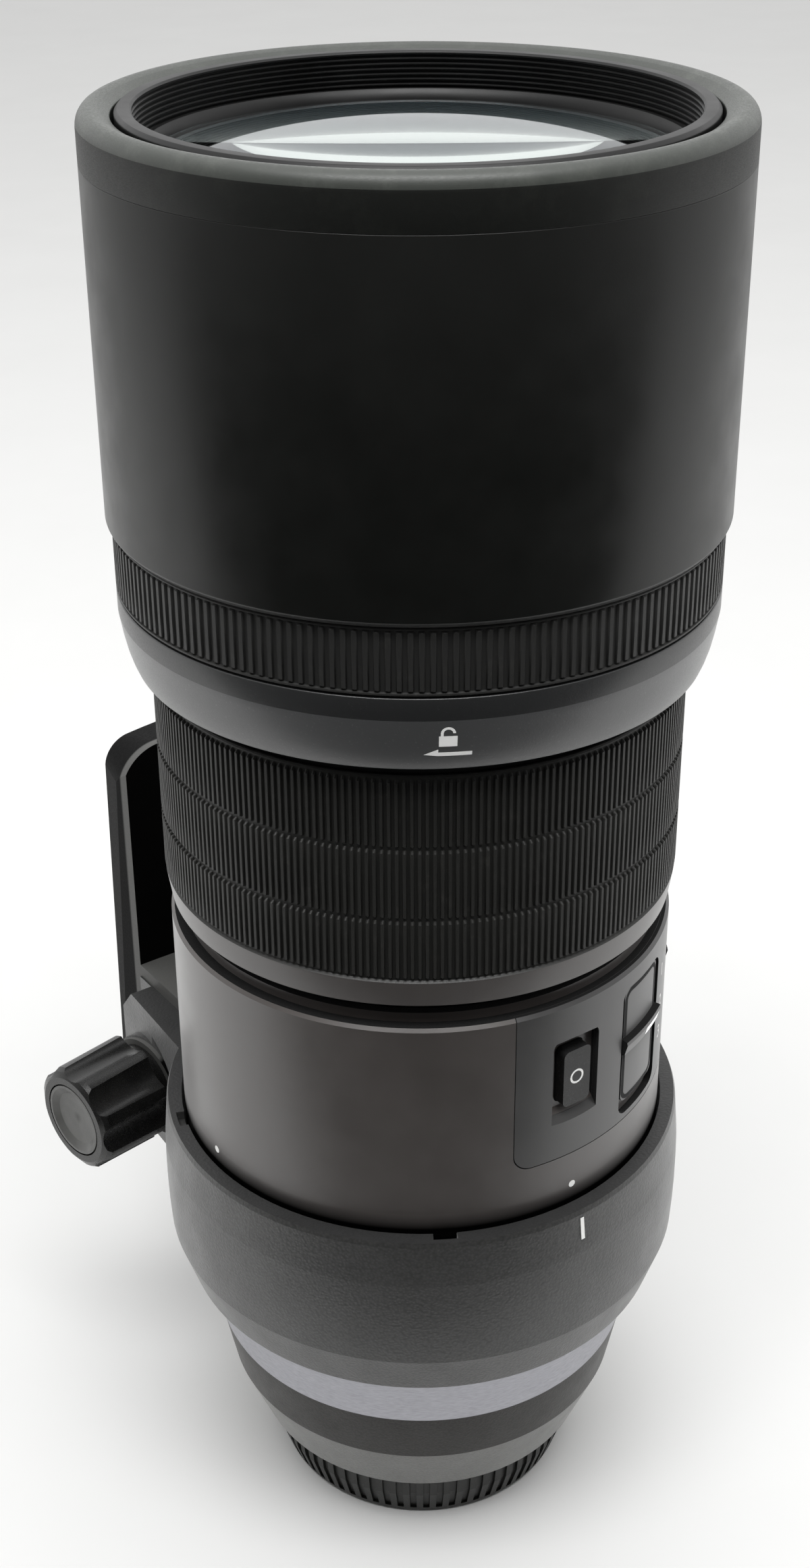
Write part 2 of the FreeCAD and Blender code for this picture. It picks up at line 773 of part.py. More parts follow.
def switch_window(azimuth):
    """Window with rounded corners for a sliding switch."""
    return key_block(rounded(window_width, window_low, window_high, 2.0), 38.0, 42.5, azimuth)


def make_housing():
    """Housing tube with a recess for the panel and openings for the keys."""
    neck = guide_radius + 1.7
    wall = 2.9
    shell = turned("housing shell", [
        (housing_radius - wall, housing_bottom), (housing_radius, housing_bottom),
        (housing_radius, housing_top - 0.5), (housing_radius - 0.5, housing_top),
        (neck, housing_top), (neck, housing_top + 1.6), (guide_radius + seat_gap, housing_top + 1.6),
        (guide_radius + seat_gap, housing_top - 3), (chassis_radius + 0.8, housing_top - 3),
        (chassis_radius + 0.8, housing_top - 5), (housing_radius - wall, housing_top - 5)])
    key_hole = key_block(rounded(5.5, 95.85, 106.35, 1.1), 35.0, 41.0, key_azimuth)
    stems = [key_block(rounded(5.0, 95.0, 107.0, 0.8), 36.0, 41.0, azimuth)
             for azimuth in (limiter_azimuth, steady_azimuth)]
    node(cut("switch_housing", shell, [panel_block(0), key_scoop(), key_hole] + stems))


def make_panel():
    """Curved panel with a scooped key window and two switch windows."""
    tube = turned("panel tube", [
        (housing_radius - 1.1 + fixed_fit, panel_low), (housing_radius, panel_low),
        (housing_radius, housing_top - 0.5), (housing_radius - 0.5, housing_top),
        (housing_radius - 1.1 + fixed_fit, housing_top)])
    node(cut("control_panel", shared("plate", [tube, panel_block(0.15)]), [
        key_scoop(), switch_window(limiter_azimuth), switch_window(steady_azimuth)]))


def make_function_button():
    """Push key on a retaining foot inside the housing wall."""
    cap = key_block(rounded(5.2, 96.0, 106.2, 1.0), 37.0, 40.6, key_azimuth)
    foot = key_block(rounded(7.2, 94.4, 107.8, 1.1), 36.1, 37.3, key_azimuth)
    node(joined("function_button", [cap, foot]))
    node(key_block(rounded(4.0, 99.0, 103.0, 0.8), chassis_radius + 0.05, 34.9, key_azimuth),
         "button_contact")


def make_slider(label, azimuth):
    """Curved switch plate with a raised grip and a stem into the housing."""
    half_turn = 9.5
    curve = sector("curve", [
        (housing_radius - 1.05, window_low), (housing_radius - 0.25, window_low),
        (housing_radius - 0.25, window_high), (housing_radius - 1.05, window_high)],
        azimuth - half_turn, azimuth + half_turn)
    plate = shared("plate", [curve, key_block(rounded(
        window_width - 1.6, window_low + switch_travel + 0.1, window_high - 0.4, 1.3),
        38.0, 42.0, azimuth)])
    grip = sector("grip", [
        (housing_radius - 0.6, 99.3), (housing_radius + 0.4, 99.7), (housing_radius + 0.9, 101.6),
        (housing_radius + 0.8, 102.2), (housing_radius - 0.6, 102.5)],
        azimuth - half_turn + 0.9, azimuth + half_turn - 0.9)
    stem = key_block(rounded(4.4, 99.0, 103.0, 0.5), 36.6, housing_radius - 0.8, azimuth)
    node(joined(label, [plate, grip, stem]))


# Focus ring on its clutch sleeve

def make_focus():
    """Guide tube, clutch sleeve, focus ring and the scale that it uncovers."""
    sleeve = guide_radius + 1.5
    node(turned("guide_barrel", [
        (guide_radius - 2, housing_top - 3), (guide_radius, housing_top - 3),
        (guide_radius, shoulder_bottom), (guide_radius - 2, shoulder_bottom)]))
    node(turned("clutch_sleeve", [
        (guide_radius + slide_fit, 122.4), (sleeve, 122.4), (sleeve, 147.0), (39.6, 147.0),
        (39.6, 148.6), (guide_radius + slide_fit, 148.6)]))
    node(turned("sleeve_retainer", [
        (guide_radius + seat_gap, 120.8), (39.1, 120.8), (39.1, 122.4),
        (guide_radius + seat_gap, 122.4)]))
    groove = 0.25
    outline = [
        (39.4, ring_bottom), (ring_radius - 0.7, ring_bottom), (ring_radius - 0.1, 123.4),
        (ring_radius, 125.6)]
    for height in (134.1, 145.8):
        outline += [
            (ring_radius, height - groove), (ring_radius - groove, height - groove),
            (ring_radius - groove, height + groove), (ring_radius, height + groove)]
    outline += [
        (ring_radius, ring_top - 0.4), (ring_radius - 0.4, ring_top), (39.9, ring_top),
        (39.9, 146.8), (sleeve + slide_fit, 146.8), (sleeve + slide_fit, 122.7), (39.4, 122.7)]
    node(turned("focus_ring", outline))
    node(turned("distance_scale", [
        (guide_radius + fixed_fit, 150.0), (39.5, 150.0), (39.5, shoulder_bottom),
        (guide_radius + fixed_fit, shoulder_bottom)]))


# Front barrel, hood and lock ring

def make_front():
    """Shoulder and front barrel with the filter opening."""
    node(turned("shoulder_ring", [
        (chassis_radius + 1.8, shoulder_bottom), (shoulder_foot, shoulder_bottom),
        Bow(shoulder_radius - 0.75, shoulder_bottom + 4.0), (shoulder_radius, shoulder_knee),
        (shoulder_radius, shoulder_top), (slide_radius + seat_gap, shoulder_top),
        (slide_radius + seat_gap, shoulder_bottom + 2), (chassis_radius + 1.8, shoulder_bottom + 2)]))
    step = front_top - 11.1
    node(turned("front_barrel", [
        (slide_radius - 6.8, shoulder_bottom + 2), (slide_radius, shoulder_bottom + 2),
        (slide_radius, step), (front_radius, step), (front_radius, front_top - 0.5),
        (front_radius - 0.5, front_top), (thread_radius + 0.3, front_top),
        (thread_radius, front_top - 0.3), (thread_radius, front_top - 2.9),
        (thread_radius + 0.4, front_top - 2.9), (thread_radius + 0.4, front_top - 3.6),
        (cell_bore, front_top - 3.6), (cell_bore, cell_seat), (thread_radius - 2, cell_seat),
        (thread_radius - 2, cell_seat - 2), (slide_radius - 2.4, cell_seat - 2),
        (slide_radius - 2.4, baffle_seat), (slide_radius - 6.8, baffle_seat)]))


def make_hood():
    """Sliding hood with its liner, rubber bumper and ribbed lock ring."""
    neck_in = slide_radius + slide_fit
    neck_out = slide_radius + 1.5
    inside = hood_radius - 1.2
    node(turned("hood_tube", [
        (neck_in, shoulder_top + 0.6), (neck_out, shoulder_top + 0.6), (neck_out, hood_bottom),
        (hood_radius - 0.7, hood_bottom), (hood_radius, hood_bottom + 0.8),
        (hood_radius, hood_seam), (inside, hood_seam), (inside, hood_bottom + 2),
        (neck_in, hood_bottom + 2)]))
    node(turned("hood_liner", [
        (inside - 0.5, hood_bottom + 2), (inside - fixed_fit, hood_bottom + 2),
        (inside - fixed_fit, hood_seam - 0.4), (inside - 0.5, hood_seam - 0.4)]))
    node(turned("hood_bumper", [
        (front_radius + free_gap, hood_seam + 1.7), (front_radius + free_gap, front_top - 0.8),
        (front_radius + 2.1, front_top + 0.1), (hood_radius - 2.0, front_top + 0.4),
        (hood_radius - 0.9, front_top - 0.2), (hood_radius, front_top - 1.5),
        (hood_radius, hood_seam), (inside - 0.6, hood_seam), (inside - 0.6, hood_seam + 1.7)]))
    node(turned("hood_lock_ring", [
        (neck_out + slide_fit, shoulder_top + 0.3), (shoulder_radius, shoulder_top + 0.3),
        (shoulder_radius, lock_top - 0.2), (shoulder_radius - 0.2, lock_top),
        (neck_out + slide_fit, lock_top)]))


# Glass and cells of the front groups

def make_front_optics():
    """Front element in its cell, the second element and a ridged baffle."""
    glass = glass_radius
    rim = front_top - 6.8
    edge = rim - 8.4
    seat = cell_bore - fixed_fit
    node(turned("front_cell", [
        (glass - 1.7, cell_seat), (seat, cell_seat), (seat, rim),
        (glass + seat_gap, rim), (glass + seat_gap, edge), (glass - 1.7, edge)]))
    node(turned("front_element", [
        (0, edge - 1.9), Dome(), (glass - 2.4, edge), (glass, edge), (glass, rim),
        (glass - 0.6, rim), Dome(), (0, rim + 3.7)]))
    node(turned("front_retainer", [
        (glass - 0.6, rim), (seat, rim), (seat, rim + 1.5),
        (glass + 0.3, rim + 1.5), (glass - 0.4, rim + 0.7)]))
    lid = cell_seat - 2
    outside = slide_radius - 2.7
    hole = outside - 6.5
    node(turned("second_cell", [
        (hole - 2, lid - 12), (outside, lid - 12), (outside, lid), (hole, lid),
        (hole, lid - 9), (hole - 2, lid - 9)]))
    disc = hole - seat_gap
    node(turned("second_element", [
        (0, lid - 9), (disc - 0.5, lid - 9), (disc, lid - 8.5), (disc, lid - 4),
        (disc - 1.5, lid - 3), (0, lid - 3)]))
    inner = slide_radius - 9.4
    end = lid - 13
    ridges = [(inner, baffle_seat), (inner + 6, baffle_seat), (inner + 6, baffle_seat + 1.4),
              (inner + 1.4, baffle_seat + 1.4), (inner + 1.4, end), (inner, end)]
    for index in range(2):
        top = end - (end - baffle_seat) * ((7 + index * 12) / 34)
        ridges += [(inner, top), (inner - 1.2, top - 0.6), (inner, top - 1.2)]
    node(turned("light_baffle", ridges))


# Chassis with the focusing, stabiliser and iris units

rod_places = (60.0, -120.0)


def make_chassis():
    """Inner tube that carries the moving groups."""
    inner = chassis_radius - 1.4
    lip = inner - 1.6
    node(turned("main_chassis", [
        (lip, 60.0), (chassis_radius, 60.0), (chassis_radius, 108.4), (37.2, 108.4),
        (37.2, housing_top - 5), (chassis_radius, housing_top - 5), (chassis_radius, 154.0),
        (lip, 154.0), (lip, 152.5), (inner, 152.5), (inner, 98.0), (lip, 98.0), (lip, 96.5),
        (inner, 96.5), (inner, 80.0), (lip, 80.0), (lip, 78.5), (inner, 78.5), (inner, 61.5),
        (lip, 61.5)]))
    board = turned("board disc", [(24.0, 58.4), (35.6, 58.4), (35.6, 60.0), (24.0, 60.0)])
    node(board, "main_board")
    chips = [key_block(rectangle(-3.0, 3.0, 57.2, 58.4), 26.5, 32.5, azimuth)
             for azimuth in (20.0, 95.0, 165.0, 250.0)]
    node(grouped("board_chips", chips))
    node(key_block(rectangle(-4.0, 4.0, flange_height + 6.6, 58.4), 24.4, 24.8), "contact_ribbon")


def rod_plate(label, low, high, hole_low):
    """A plate that holds the guide rods' ends."""
    outer = chassis_radius - 1.4 - seat_gap
    disc = turned("plate", [(22.0, low), (outer, low), (outer, high), (22.0, high)])
    holes = []
    for azimuth in rod_places:
        x, y = around(26.5, azimuth)
        holes.append(rod(1.2 + fixed_fit, 6.0, (x, y, hole_low)))
    node(cut(label, disc, holes))


def make_focus_group():
    """Focusing lens in a carrier on two rods with its linear motor."""
    motor = -30.0
    rod_plate("rod_plate_rear", 103.4, 105.8, 104.2)
    rod_plate("rod_plate_front", 154.0, 156.4, 153.0)
    bars = []
    tools = [key_block(rectangle(-4.6, 4.6, 110.0, 130.0), 26.6, 31.0, motor)]
    for azimuth in rod_places:
        x, y = around(26.5, azimuth)
        bars.append(rod(1.2, 51.6, (x, y, 104.2)))
        tools.append(rod(1.2 + slide_fit, 14.0, (x, y, 117.0)))
    node(grouped("guide_rods", bars))
    ring = turned("carrier ring", [
        (16.0, 119.0), (29.4, 119.0), (29.4, 121.0), (19.6, 121.0), (19.6, 127.0),
        (17.6, 127.0), (17.6, 120.6), (16.0, 120.6)])
    node(cut("focus_carrier", ring, tools))
    node(turned("focus_lens", [
        (0, 120.6), (16.9, 120.6), (17.3, 121.0), (17.3, 123.4), (16.3, 124.4), (0, 124.4)]))
    node(key_block(rectangle(-3.0, 3.0, 121.0, 125.0), 22.0, 26.4, motor), "focus_coil")
    node(key_block(rectangle(-4.0, 4.0, 105.8, 148.0), 27.0, 30.4, motor), "focus_magnet")


def make_stabiliser():
    """Shift lens on two crossed slides over a base plate."""
    outer = chassis_radius - 1.4 - seat_gap
    node(turned("stabiliser_base", [
        (17.0, 80.0), (outer, 80.0), (outer, 81.6), (17.0, 81.6)]))
    node(turned("stabiliser_yoke", [
        (16.5, 82.0), (25.0, 82.0), (25.0, 83.6), (16.5, 83.6)]))
    node(turned("stabiliser_carrier", [
        (13.4, 84.0), (22.0, 84.0), (22.0, 85.6), (16.8, 85.6), (16.8, 89.0), (15.0, 89.0),
        (15.0, 85.4), (13.4, 85.4)]))
    node(turned("stabiliser_lens", [
        (0, 85.4), (14.3, 85.4), (14.7, 85.8), (14.7, 87.6), (13.8, 88.5), (0, 88.5)]))


def make_iris():
    """Iris housing with nine blades lying open inside it."""
    outer = chassis_radius - 1.4 - seat_gap
    node(turned("iris_housing", [
        (17.0, 98.0), (outer, 98.0), (outer, 103.4), (17.0, 103.4), (17.0, 101.8),
        (28.6, 101.8), (28.6, 99.6), (17.0, 99.6)]))
    blades = []
    for index in range(9):
        blades.append(sector("blade", [
            (18.4, 99.6), (27.6, 99.6), (27.6, 99.9), (18.4, 99.9)],
            index * 40, index * 40 + 37))
    node(grouped("iris_blades", blades))


make_rear_cap()
make_mount()
make_contacts()
make_rear_optics()
make_rear_barrel()
make_collar()
make_clamp()
make_foot()
make_housing()
make_panel()
make_function_button()
make_slider("focus_limit_switch", limiter_azimuth)
make_slider("stabiliser_switch", steady_azimuth)
make_focus()
make_front()
make_hood()
make_front_optics()
make_chassis()
make_focus_group()
make_stabiliser()
make_iris()

doc.recompute()
for thing in doc.Objects:
    if "Invalid" in thing.State or "Error" in thing.State:
        raise ValueError(f"{thing.Name} {thing.Label} did not rebuild: {thing.State}")

os.makedirs("parts", exist_ok=True)
for thing in nodes:
    shape = thing.Shape
    if shape.isNull() or not shape.isValid():
        raise ValueError(f"{thing.Label} has no valid shape")
    shape.exportStep(f"parts/{thing.Label}.step")
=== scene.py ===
import logging
import math
from collections.abc import Callable, Sequence
from dataclasses import dataclass, field
from enum import Enum
from functools import cache
from typing import Any

import bmesh
import bpy
from mathutils import Matrix, Vector


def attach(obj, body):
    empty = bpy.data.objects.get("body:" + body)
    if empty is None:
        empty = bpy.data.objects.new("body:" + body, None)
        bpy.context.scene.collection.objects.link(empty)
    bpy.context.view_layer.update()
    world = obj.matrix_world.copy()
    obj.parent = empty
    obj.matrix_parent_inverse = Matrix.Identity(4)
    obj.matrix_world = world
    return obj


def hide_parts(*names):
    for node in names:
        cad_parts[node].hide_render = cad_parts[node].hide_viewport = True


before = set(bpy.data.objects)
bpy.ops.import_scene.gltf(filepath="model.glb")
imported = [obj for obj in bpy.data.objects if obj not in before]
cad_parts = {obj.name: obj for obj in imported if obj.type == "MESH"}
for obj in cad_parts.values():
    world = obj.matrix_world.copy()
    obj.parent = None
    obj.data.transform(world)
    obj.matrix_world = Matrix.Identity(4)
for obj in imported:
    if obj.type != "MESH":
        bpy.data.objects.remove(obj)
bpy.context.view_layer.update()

log = logging.getLogger("telephoto_lens")

# Sizes are written in millimetres and drawn in metres.
MM = 0.001
# Points nearer to each other than this, in metres, become one.
WELD = 1e-7
# Corners nearer to the axis than this, in millimetres, lie on it.
ON_AXIS = 1e-6
# The most of an edge that the rounding of one of its corners takes.
CORNER_SHARE = 0.48
# Faces that meet at more than this many degrees have a sharp edge between them.
SHARP = 32.0
SHARP_RIBS = 40.0
SHARP_CAD = 34.0
# Edges of CAD nodes steeper than this many degrees are softened.
BEVEL_FROM = 50.0
# A face whose normal points outward by less than this looks aside.
OUTWARD = 0.6

Outline = Sequence[tuple[float, ...]]
Polygon = Sequence[tuple[float, float]]
Choice = Callable[[bpy.types.MeshPolygon], bool]


class Body(str, Enum):
    """The rigid groups of the lens that carry the pieces made here."""

    BARREL = "barrel"
    COLLAR = "collar"
    FUNCTION_KEY = "function_key"
    LIMIT_KEY = "limit_key"
    STEADY_KEY = "steady_key"
    FOCUS_GRIP = "focus_grip"
    HOOD = "hood"
    HOOD_LOCK = "hood_lock"


class Slot(str, Enum):
    """The record's material slots of the CAD nodes that the made pieces stand for."""

    ANODISED = "black_anodised"
    CRACKLE = "crackle_grey"
    GRIP = "grip_rubber"
    BUMPER = "bumper_rubber"
    GLASS = "optical_glass"


class Kind(str, Enum):
    """The shader nodes that the finishes are drawn with."""

    OUTPUT = "ShaderNodeOutputMaterial"
    SPOT = "ShaderNodeTexCoord"
    MAPPING = "ShaderNodeMapping"
    NOISE = "ShaderNodeTexNoise"
    CELLS = "ShaderNodeTexVoronoi"
    BRICKS = "ShaderNodeTexBrick"
    PARTS = "ShaderNodeSeparateXYZ"
    RANGE = "ShaderNodeMapRange"
    MIX = "ShaderNodeMix"
    BUMP = "ShaderNodeBump"
    SURFACE = "ShaderNodeBsdfPrincipled"


# What a node starts from where a finish says nothing else. Noise keeps mostly between 0.3
# and 0.7, and a range spreads that over 0 to 1.
STARTS: dict[Kind, dict[str, Any]] = {
    Kind.NOISE: {"Detail": 2.0, "Roughness": 0.6},
    Kind.RANGE: {"From_Min": 0.3, "From_Max": 0.7},
}
COLORS = {"data_type": "RGBA"}


# Colours


def paint(code: str) -> tuple[float, float, float, float]:
    """Turn an sRGB hex colour into linear light.

    Args:
        code: Six hex digits.

    Returns:
        Linear red, green, blue and full opacity.
    """
    parts = [int(code[i:i + 2], 16) / 255 for i in (0, 2, 4)]
    linear = [c / 12.92 if c <= 0.04045 else ((c + 0.055) / 1.055) ** 2.4 for c in parts]
    return (linear[0], linear[1], linear[2], 1.0)


# Shader graphs


class Nodes:
    """A node tree to which nodes are added one short line at a time."""

    def __init__(self, tree: bpy.types.NodeTree) -> None:
        """Take over a node tree."""
        self.tree = tree

    def add(self, kind: Kind, settings: dict[str, Any] | None = None,
            out: str | None = None, **inputs: Any) -> Any:
        """Add one node, set its values and link its inputs.

        Args:
            kind: Which node.
            settings: Attributes of the node.
            out: The wanted output, where it isn't the first.
            inputs: Values, or outputs to link, by input name with _ for a blank.

        Returns:
            The node's output.
        """
        node = self.tree.nodes.new(kind.value)
        for name, value in (settings or {}).items():
            setattr(node, name, value)
        for name, value in (STARTS.get(kind, {}) | inputs).items():
            socket = next(s for s in node.inputs
                          if s.enabled and s.name == name.replace("_", " "))
            if isinstance(value, bpy.types.NodeSocket):
                self.tree.links.new(value, socket)
            else:
                socket.default_value = value
        return node.outputs[out] if out else next(s for s in node.outputs if s.enabled)


class Graph(Nodes):
    """A material's nodes, whose patterns are measured in millimetres on the lens."""

    def __init__(self, name: str) -> None:
        """Start a material with its output and the place of each point.

        Args:
            name: The material's name.
        """
        self.material = bpy.data.materials.new(name)
        self.material.use_nodes = True
        super().__init__(self.material.node_tree)
        self.tree.nodes.clear()
        self.output = self.tree.nodes.new(Kind.OUTPUT.value)
        self.place = self.add(Kind.MAPPING, Vector=self.add(Kind.SPOT, out="Object"),
                              Scale=(1 / MM, 1 / MM, 1 / MM))

    def close(self, surface: Any) -> bpy.types.Material:
        """Link the surface to the output and give the material."""
        self.tree.links.new(surface, self.output.inputs["Surface"])
        return self.material


# Finishes, each named for what the real piece is made of, and for light painted on it where there
# is some. Grain, pile and fibres finer than about 0.1 mm don't show in the render, and so they
# are drawn 0.12 to 0.3 mm wide.


@dataclass(frozen=True)
class SatinAnodised:
    """Blasted aluminium with a black anodised skin, as on the hood and housing."""

    tone: str = "17181a"
    worn: str = "202122"
    rough: float = 0.36
    grain_mm: float = 0.22
    specular: float = 0.5
    sheen: float = 0.0
    # Heights, in mm, over which the colour fades downward into painted shade, and the colour of
    # that shade.
    grime_mm: tuple[float, float] | None = None
    grime: str = "050505"
    cloud_mm: float = 9.0

    def material(self, name: str) -> bpy.types.Material:
        """An even satin shine over slow clouds of wear; below the given heights it fades into
        painted shade, black and with little shine or sheen.

        Args:
            name: The material's name.

        Returns:
            The material.
        """
        g = Graph(name)
        cloud = g.add(Kind.NOISE, Vector=g.place, Scale=1 / self.cloud_mm, Detail=3.0)
        grain = g.add(Kind.NOISE, Vector=g.place, Scale=1 / self.grain_mm)
        color = g.add(Kind.MIX, COLORS, Factor=g.add(Kind.RANGE, Value=cloud),
                      A=paint(self.tone), B=paint(self.worn))
        shine: Any = self.specular
        sheen: Any = self.sheen
        # Painted shade: black, and with little shine, below the lower height; the plain satin
        # finish above the upper.
        if self.grime_mm is not None:
            height = g.add(Kind.PARTS, out="Z", Vector=g.place)
            span = {"Value": height, "From_Min": self.grime_mm[0],
                    "From_Max": self.grime_mm[1]}
            color = g.add(Kind.MIX, COLORS, Factor=g.add(Kind.RANGE, **span),
                          A=paint(self.grime), B=color)
            shine = g.add(Kind.RANGE, To_Min=0.05, To_Max=self.specular, **span)
            sheen = g.add(Kind.RANGE, To_Max=self.sheen, **span)
        return g.close(g.add(
            Kind.SURFACE, Base_Color=color, Specular_IOR_Level=shine, Sheen_Weight=sheen,
            Roughness=g.add(Kind.RANGE, Value=cloud, To_Min=self.rough - 0.03,
                            To_Max=self.rough + 0.05),
            Normal=g.add(Kind.BUMP, Height=grain, Distance=0.012 * MM, Strength=0.5)))


@dataclass(frozen=True)
class SpeckledPaint:
    """Dark baked paint with fine pale flecks, as on the shoulder ring."""

    tone: str = "474849"
    fleck: str = "767677"
    rough: float = 0.33
    sheen: float = 0.35
    grain_mm: float = 0.28
    fleck_mm: float = 0.35

    def material(self, name: str) -> bpy.types.Material:
        """A bright hard coat, dotted with flecks that catch the light.

        Args:
            name: The material's name.

        Returns:
            The material.
        """
        g = Graph(name)
        grain = g.add(Kind.NOISE, Vector=g.place, Scale=1 / self.grain_mm)
        dots = g.add(Kind.NOISE, Vector=g.place, Scale=1 / self.fleck_mm, Detail=1.0)
        flecks = g.add(Kind.RANGE, Value=dots, From_Min=0.66, From_Max=0.76, To_Max=0.35)
        return g.close(g.add(
            Kind.SURFACE, Specular_IOR_Level=0.9, Sheen_Weight=self.sheen,
            Base_Color=g.add(Kind.MIX, COLORS, Factor=flecks, A=paint(self.tone),
                             B=paint(self.fleck)),
            Roughness=g.add(Kind.RANGE, Value=grain, To_Min=self.rough - 0.05,
                            To_Max=self.rough + 0.08),
            Normal=g.add(Kind.BUMP, Height=grain, Distance=0.02 * MM, Strength=0.6)))


@dataclass(frozen=True)
class CracklePaint:
    """Thick wrinkled paint over cast metal, as on the tripod collar."""

    tone: str = "2e2e2d"
    peak: str = "444443"
    rough: float = 0.42
    wrinkle_mm: float = 0.42
    depth_mm: float = 0.07
    sheen: float = 0.3
    specular: float = 0.6
    cloud_mm: float = 6.0
    grain_mm: float = 0.2

    def material(self, name: str) -> bpy.types.Material:
        """Fine wrinkles, paler on their backs, that break the shine into points.

        Args:
            name: The material's name.

        Returns:
            The material.
        """
        g = Graph(name)
        cells = g.add(Kind.CELLS, {"feature": "SMOOTH_F1"}, Vector=g.place,
                      Scale=1 / self.wrinkle_mm, Randomness=1.0)
        cloud = g.add(Kind.NOISE, Vector=g.place, Scale=1 / self.cloud_mm, Detail=3.0)
        grain = g.add(Kind.NOISE, Vector=g.place, Scale=1 / self.grain_mm)
        backs = g.add(Kind.RANGE, Value=cells, From_Min=0.1, From_Max=0.7, To_Min=1.0,
                      To_Max=0.0)
        below = g.add(Kind.BUMP, Height=grain, Distance=0.02 * MM, Strength=0.5)
        return g.close(g.add(
            Kind.SURFACE, Specular_IOR_Level=self.specular, Sheen_Weight=self.sheen,
            Base_Color=g.add(Kind.MIX, COLORS, Factor=backs, A=paint(self.tone),
                             B=paint(self.peak)),
            Roughness=g.add(Kind.RANGE, Value=cloud, To_Min=self.rough - 0.05,
                            To_Max=self.rough + 0.06),
            Normal=g.add(Kind.BUMP, Height=cells, Distance=self.depth_mm * MM, Strength=0.55,
                         Normal=below)))


@dataclass(frozen=True)
class RubbedCasting:
    """Black painted casting of the foot, with a painted grey highlight along its inner edge."""

    tone: str = "0b0b0b"
    rubbed: str = "5c5c5a"
    edge_mm: float = 57.6
    grain_mm: float = 0.4

    def material(self, name: str) -> bpy.types.Material:
        """Flat black that takes no shine, but for a painted highlight: grey and shinier on the
        side faces along the inner edge.

        Args:
            name: The material's name.

        Returns:
            The material.
        """
        g = Graph(name)
        # Painted highlight: side faces that look along -Y turn grey and shinier near the inner
        # edge.
        near = g.add(Kind.RANGE, Value=g.add(Kind.PARTS, out="Y", Vector=g.place), To_Min=1.0,
                     To_Max=0.0, From_Min=self.edge_mm - 0.3, From_Max=self.edge_mm + 0.3)
        looks = g.add(Kind.PARTS, out="Y", Vector=g.add(Kind.SPOT, out="Normal"))
        worn = g.add(Kind.RANGE, Value=looks, From_Min=-0.6, From_Max=-0.5, To_Max=near)
        grain = g.add(Kind.NOISE, Vector=g.place, Scale=1 / self.grain_mm, Detail=3.0)
        return g.close(g.add(
            Kind.SURFACE,
            Base_Color=g.add(Kind.MIX, COLORS, Factor=worn, A=paint(self.tone),
                             B=paint(self.rubbed)),
            Roughness=g.add(Kind.RANGE, Value=grain, To_Min=0.5, To_Max=0.62),
            Specular_IOR_Level=g.add(Kind.RANGE, Value=worn, From_Min=0.0, From_Max=1.0,
                                     To_Min=0.04, To_Max=0.3),
            Normal=g.add(Kind.BUMP, Height=grain, Distance=0.05 * MM, Strength=0.5)))


@dataclass(frozen=True)
class GripRubber:
    """Moulded rubber of the ribbed grips."""

    tone: str = "2d2d2b"
    dust: str = "444340"
    rough: float = 0.46
    dust_mm: float = 2.4
    grain_mm: float = 0.15

    def material(self, name: str) -> bpy.types.Material:
        """Dull soft black with pale dust caught in patches.

        Args:
            name: The material's name.

        Returns:
            The material.
        """
        g = Graph(name)
        patches = g.add(Kind.NOISE, Vector=g.place, Scale=1 / self.dust_mm, Detail=5.0,
                        Roughness=0.7)
        grain = g.add(Kind.NOISE, Vector=g.place, Scale=1 / self.grain_mm)
        dust = g.add(Kind.RANGE, Value=patches, From_Min=0.56, From_Max=0.74, To_Max=0.6)
        return g.close(g.add(
            Kind.SURFACE,
            Base_Color=g.add(Kind.MIX, COLORS, Factor=dust, A=paint(self.tone),
                             B=paint(self.dust)),
            Roughness=g.add(Kind.RANGE, Value=grain, To_Min=self.rough - 0.08,
                            To_Max=self.rough + 0.1),
            Normal=g.add(Kind.BUMP, Height=grain, Distance=0.01 * MM, Strength=0.5)))


@dataclass(frozen=True)
class BumperRubber:
    """Denser moulded rubber of the hood's rim, rubbed paler where it is touched."""

    tone: str = "1c1e1b"
    rubbed: str = "31332f"
    rough: float = 0.46
    worn_mm: float = 5.0
    scratch_mm: float = 0.5
    grain_mm: float = 0.3

    def material(self, name: str) -> bpy.types.Material:
        """Paler worn patches, and faint marks round the rim that streak the shine.

        Args:
            name: The material's name.

        Returns:
            The material.
        """
        g = Graph(name)
        patches = g.add(Kind.NOISE, Vector=g.place, Scale=1 / self.worn_mm, Detail=6.0,
                        Roughness=0.7)
        worn = g.add(Kind.RANGE, Value=patches, From_Min=0.5, From_Max=0.75, To_Max=0.7)
        drawn = g.add(Kind.MAPPING, Vector=g.place, Scale=(1.0, 1.0, 8.0))
        scratch = g.add(Kind.NOISE, Vector=drawn, Scale=1 / self.scratch_mm, Detail=3.0,
                        Roughness=0.5)
        grain = g.add(Kind.NOISE, Vector=g.place, Scale=1 / self.grain_mm)
        return g.close(g.add(
            Kind.SURFACE,
            Base_Color=g.add(Kind.MIX, COLORS, Factor=worn, A=paint(self.tone),
                             B=paint(self.rubbed)),
            Roughness=g.add(Kind.RANGE, Value=scratch, To_Min=self.rough - 0.06,
                            To_Max=self.rough + 0.1),
            Normal=g.add(Kind.BUMP, Height=grain, Distance=0.015 * MM, Strength=0.5)))


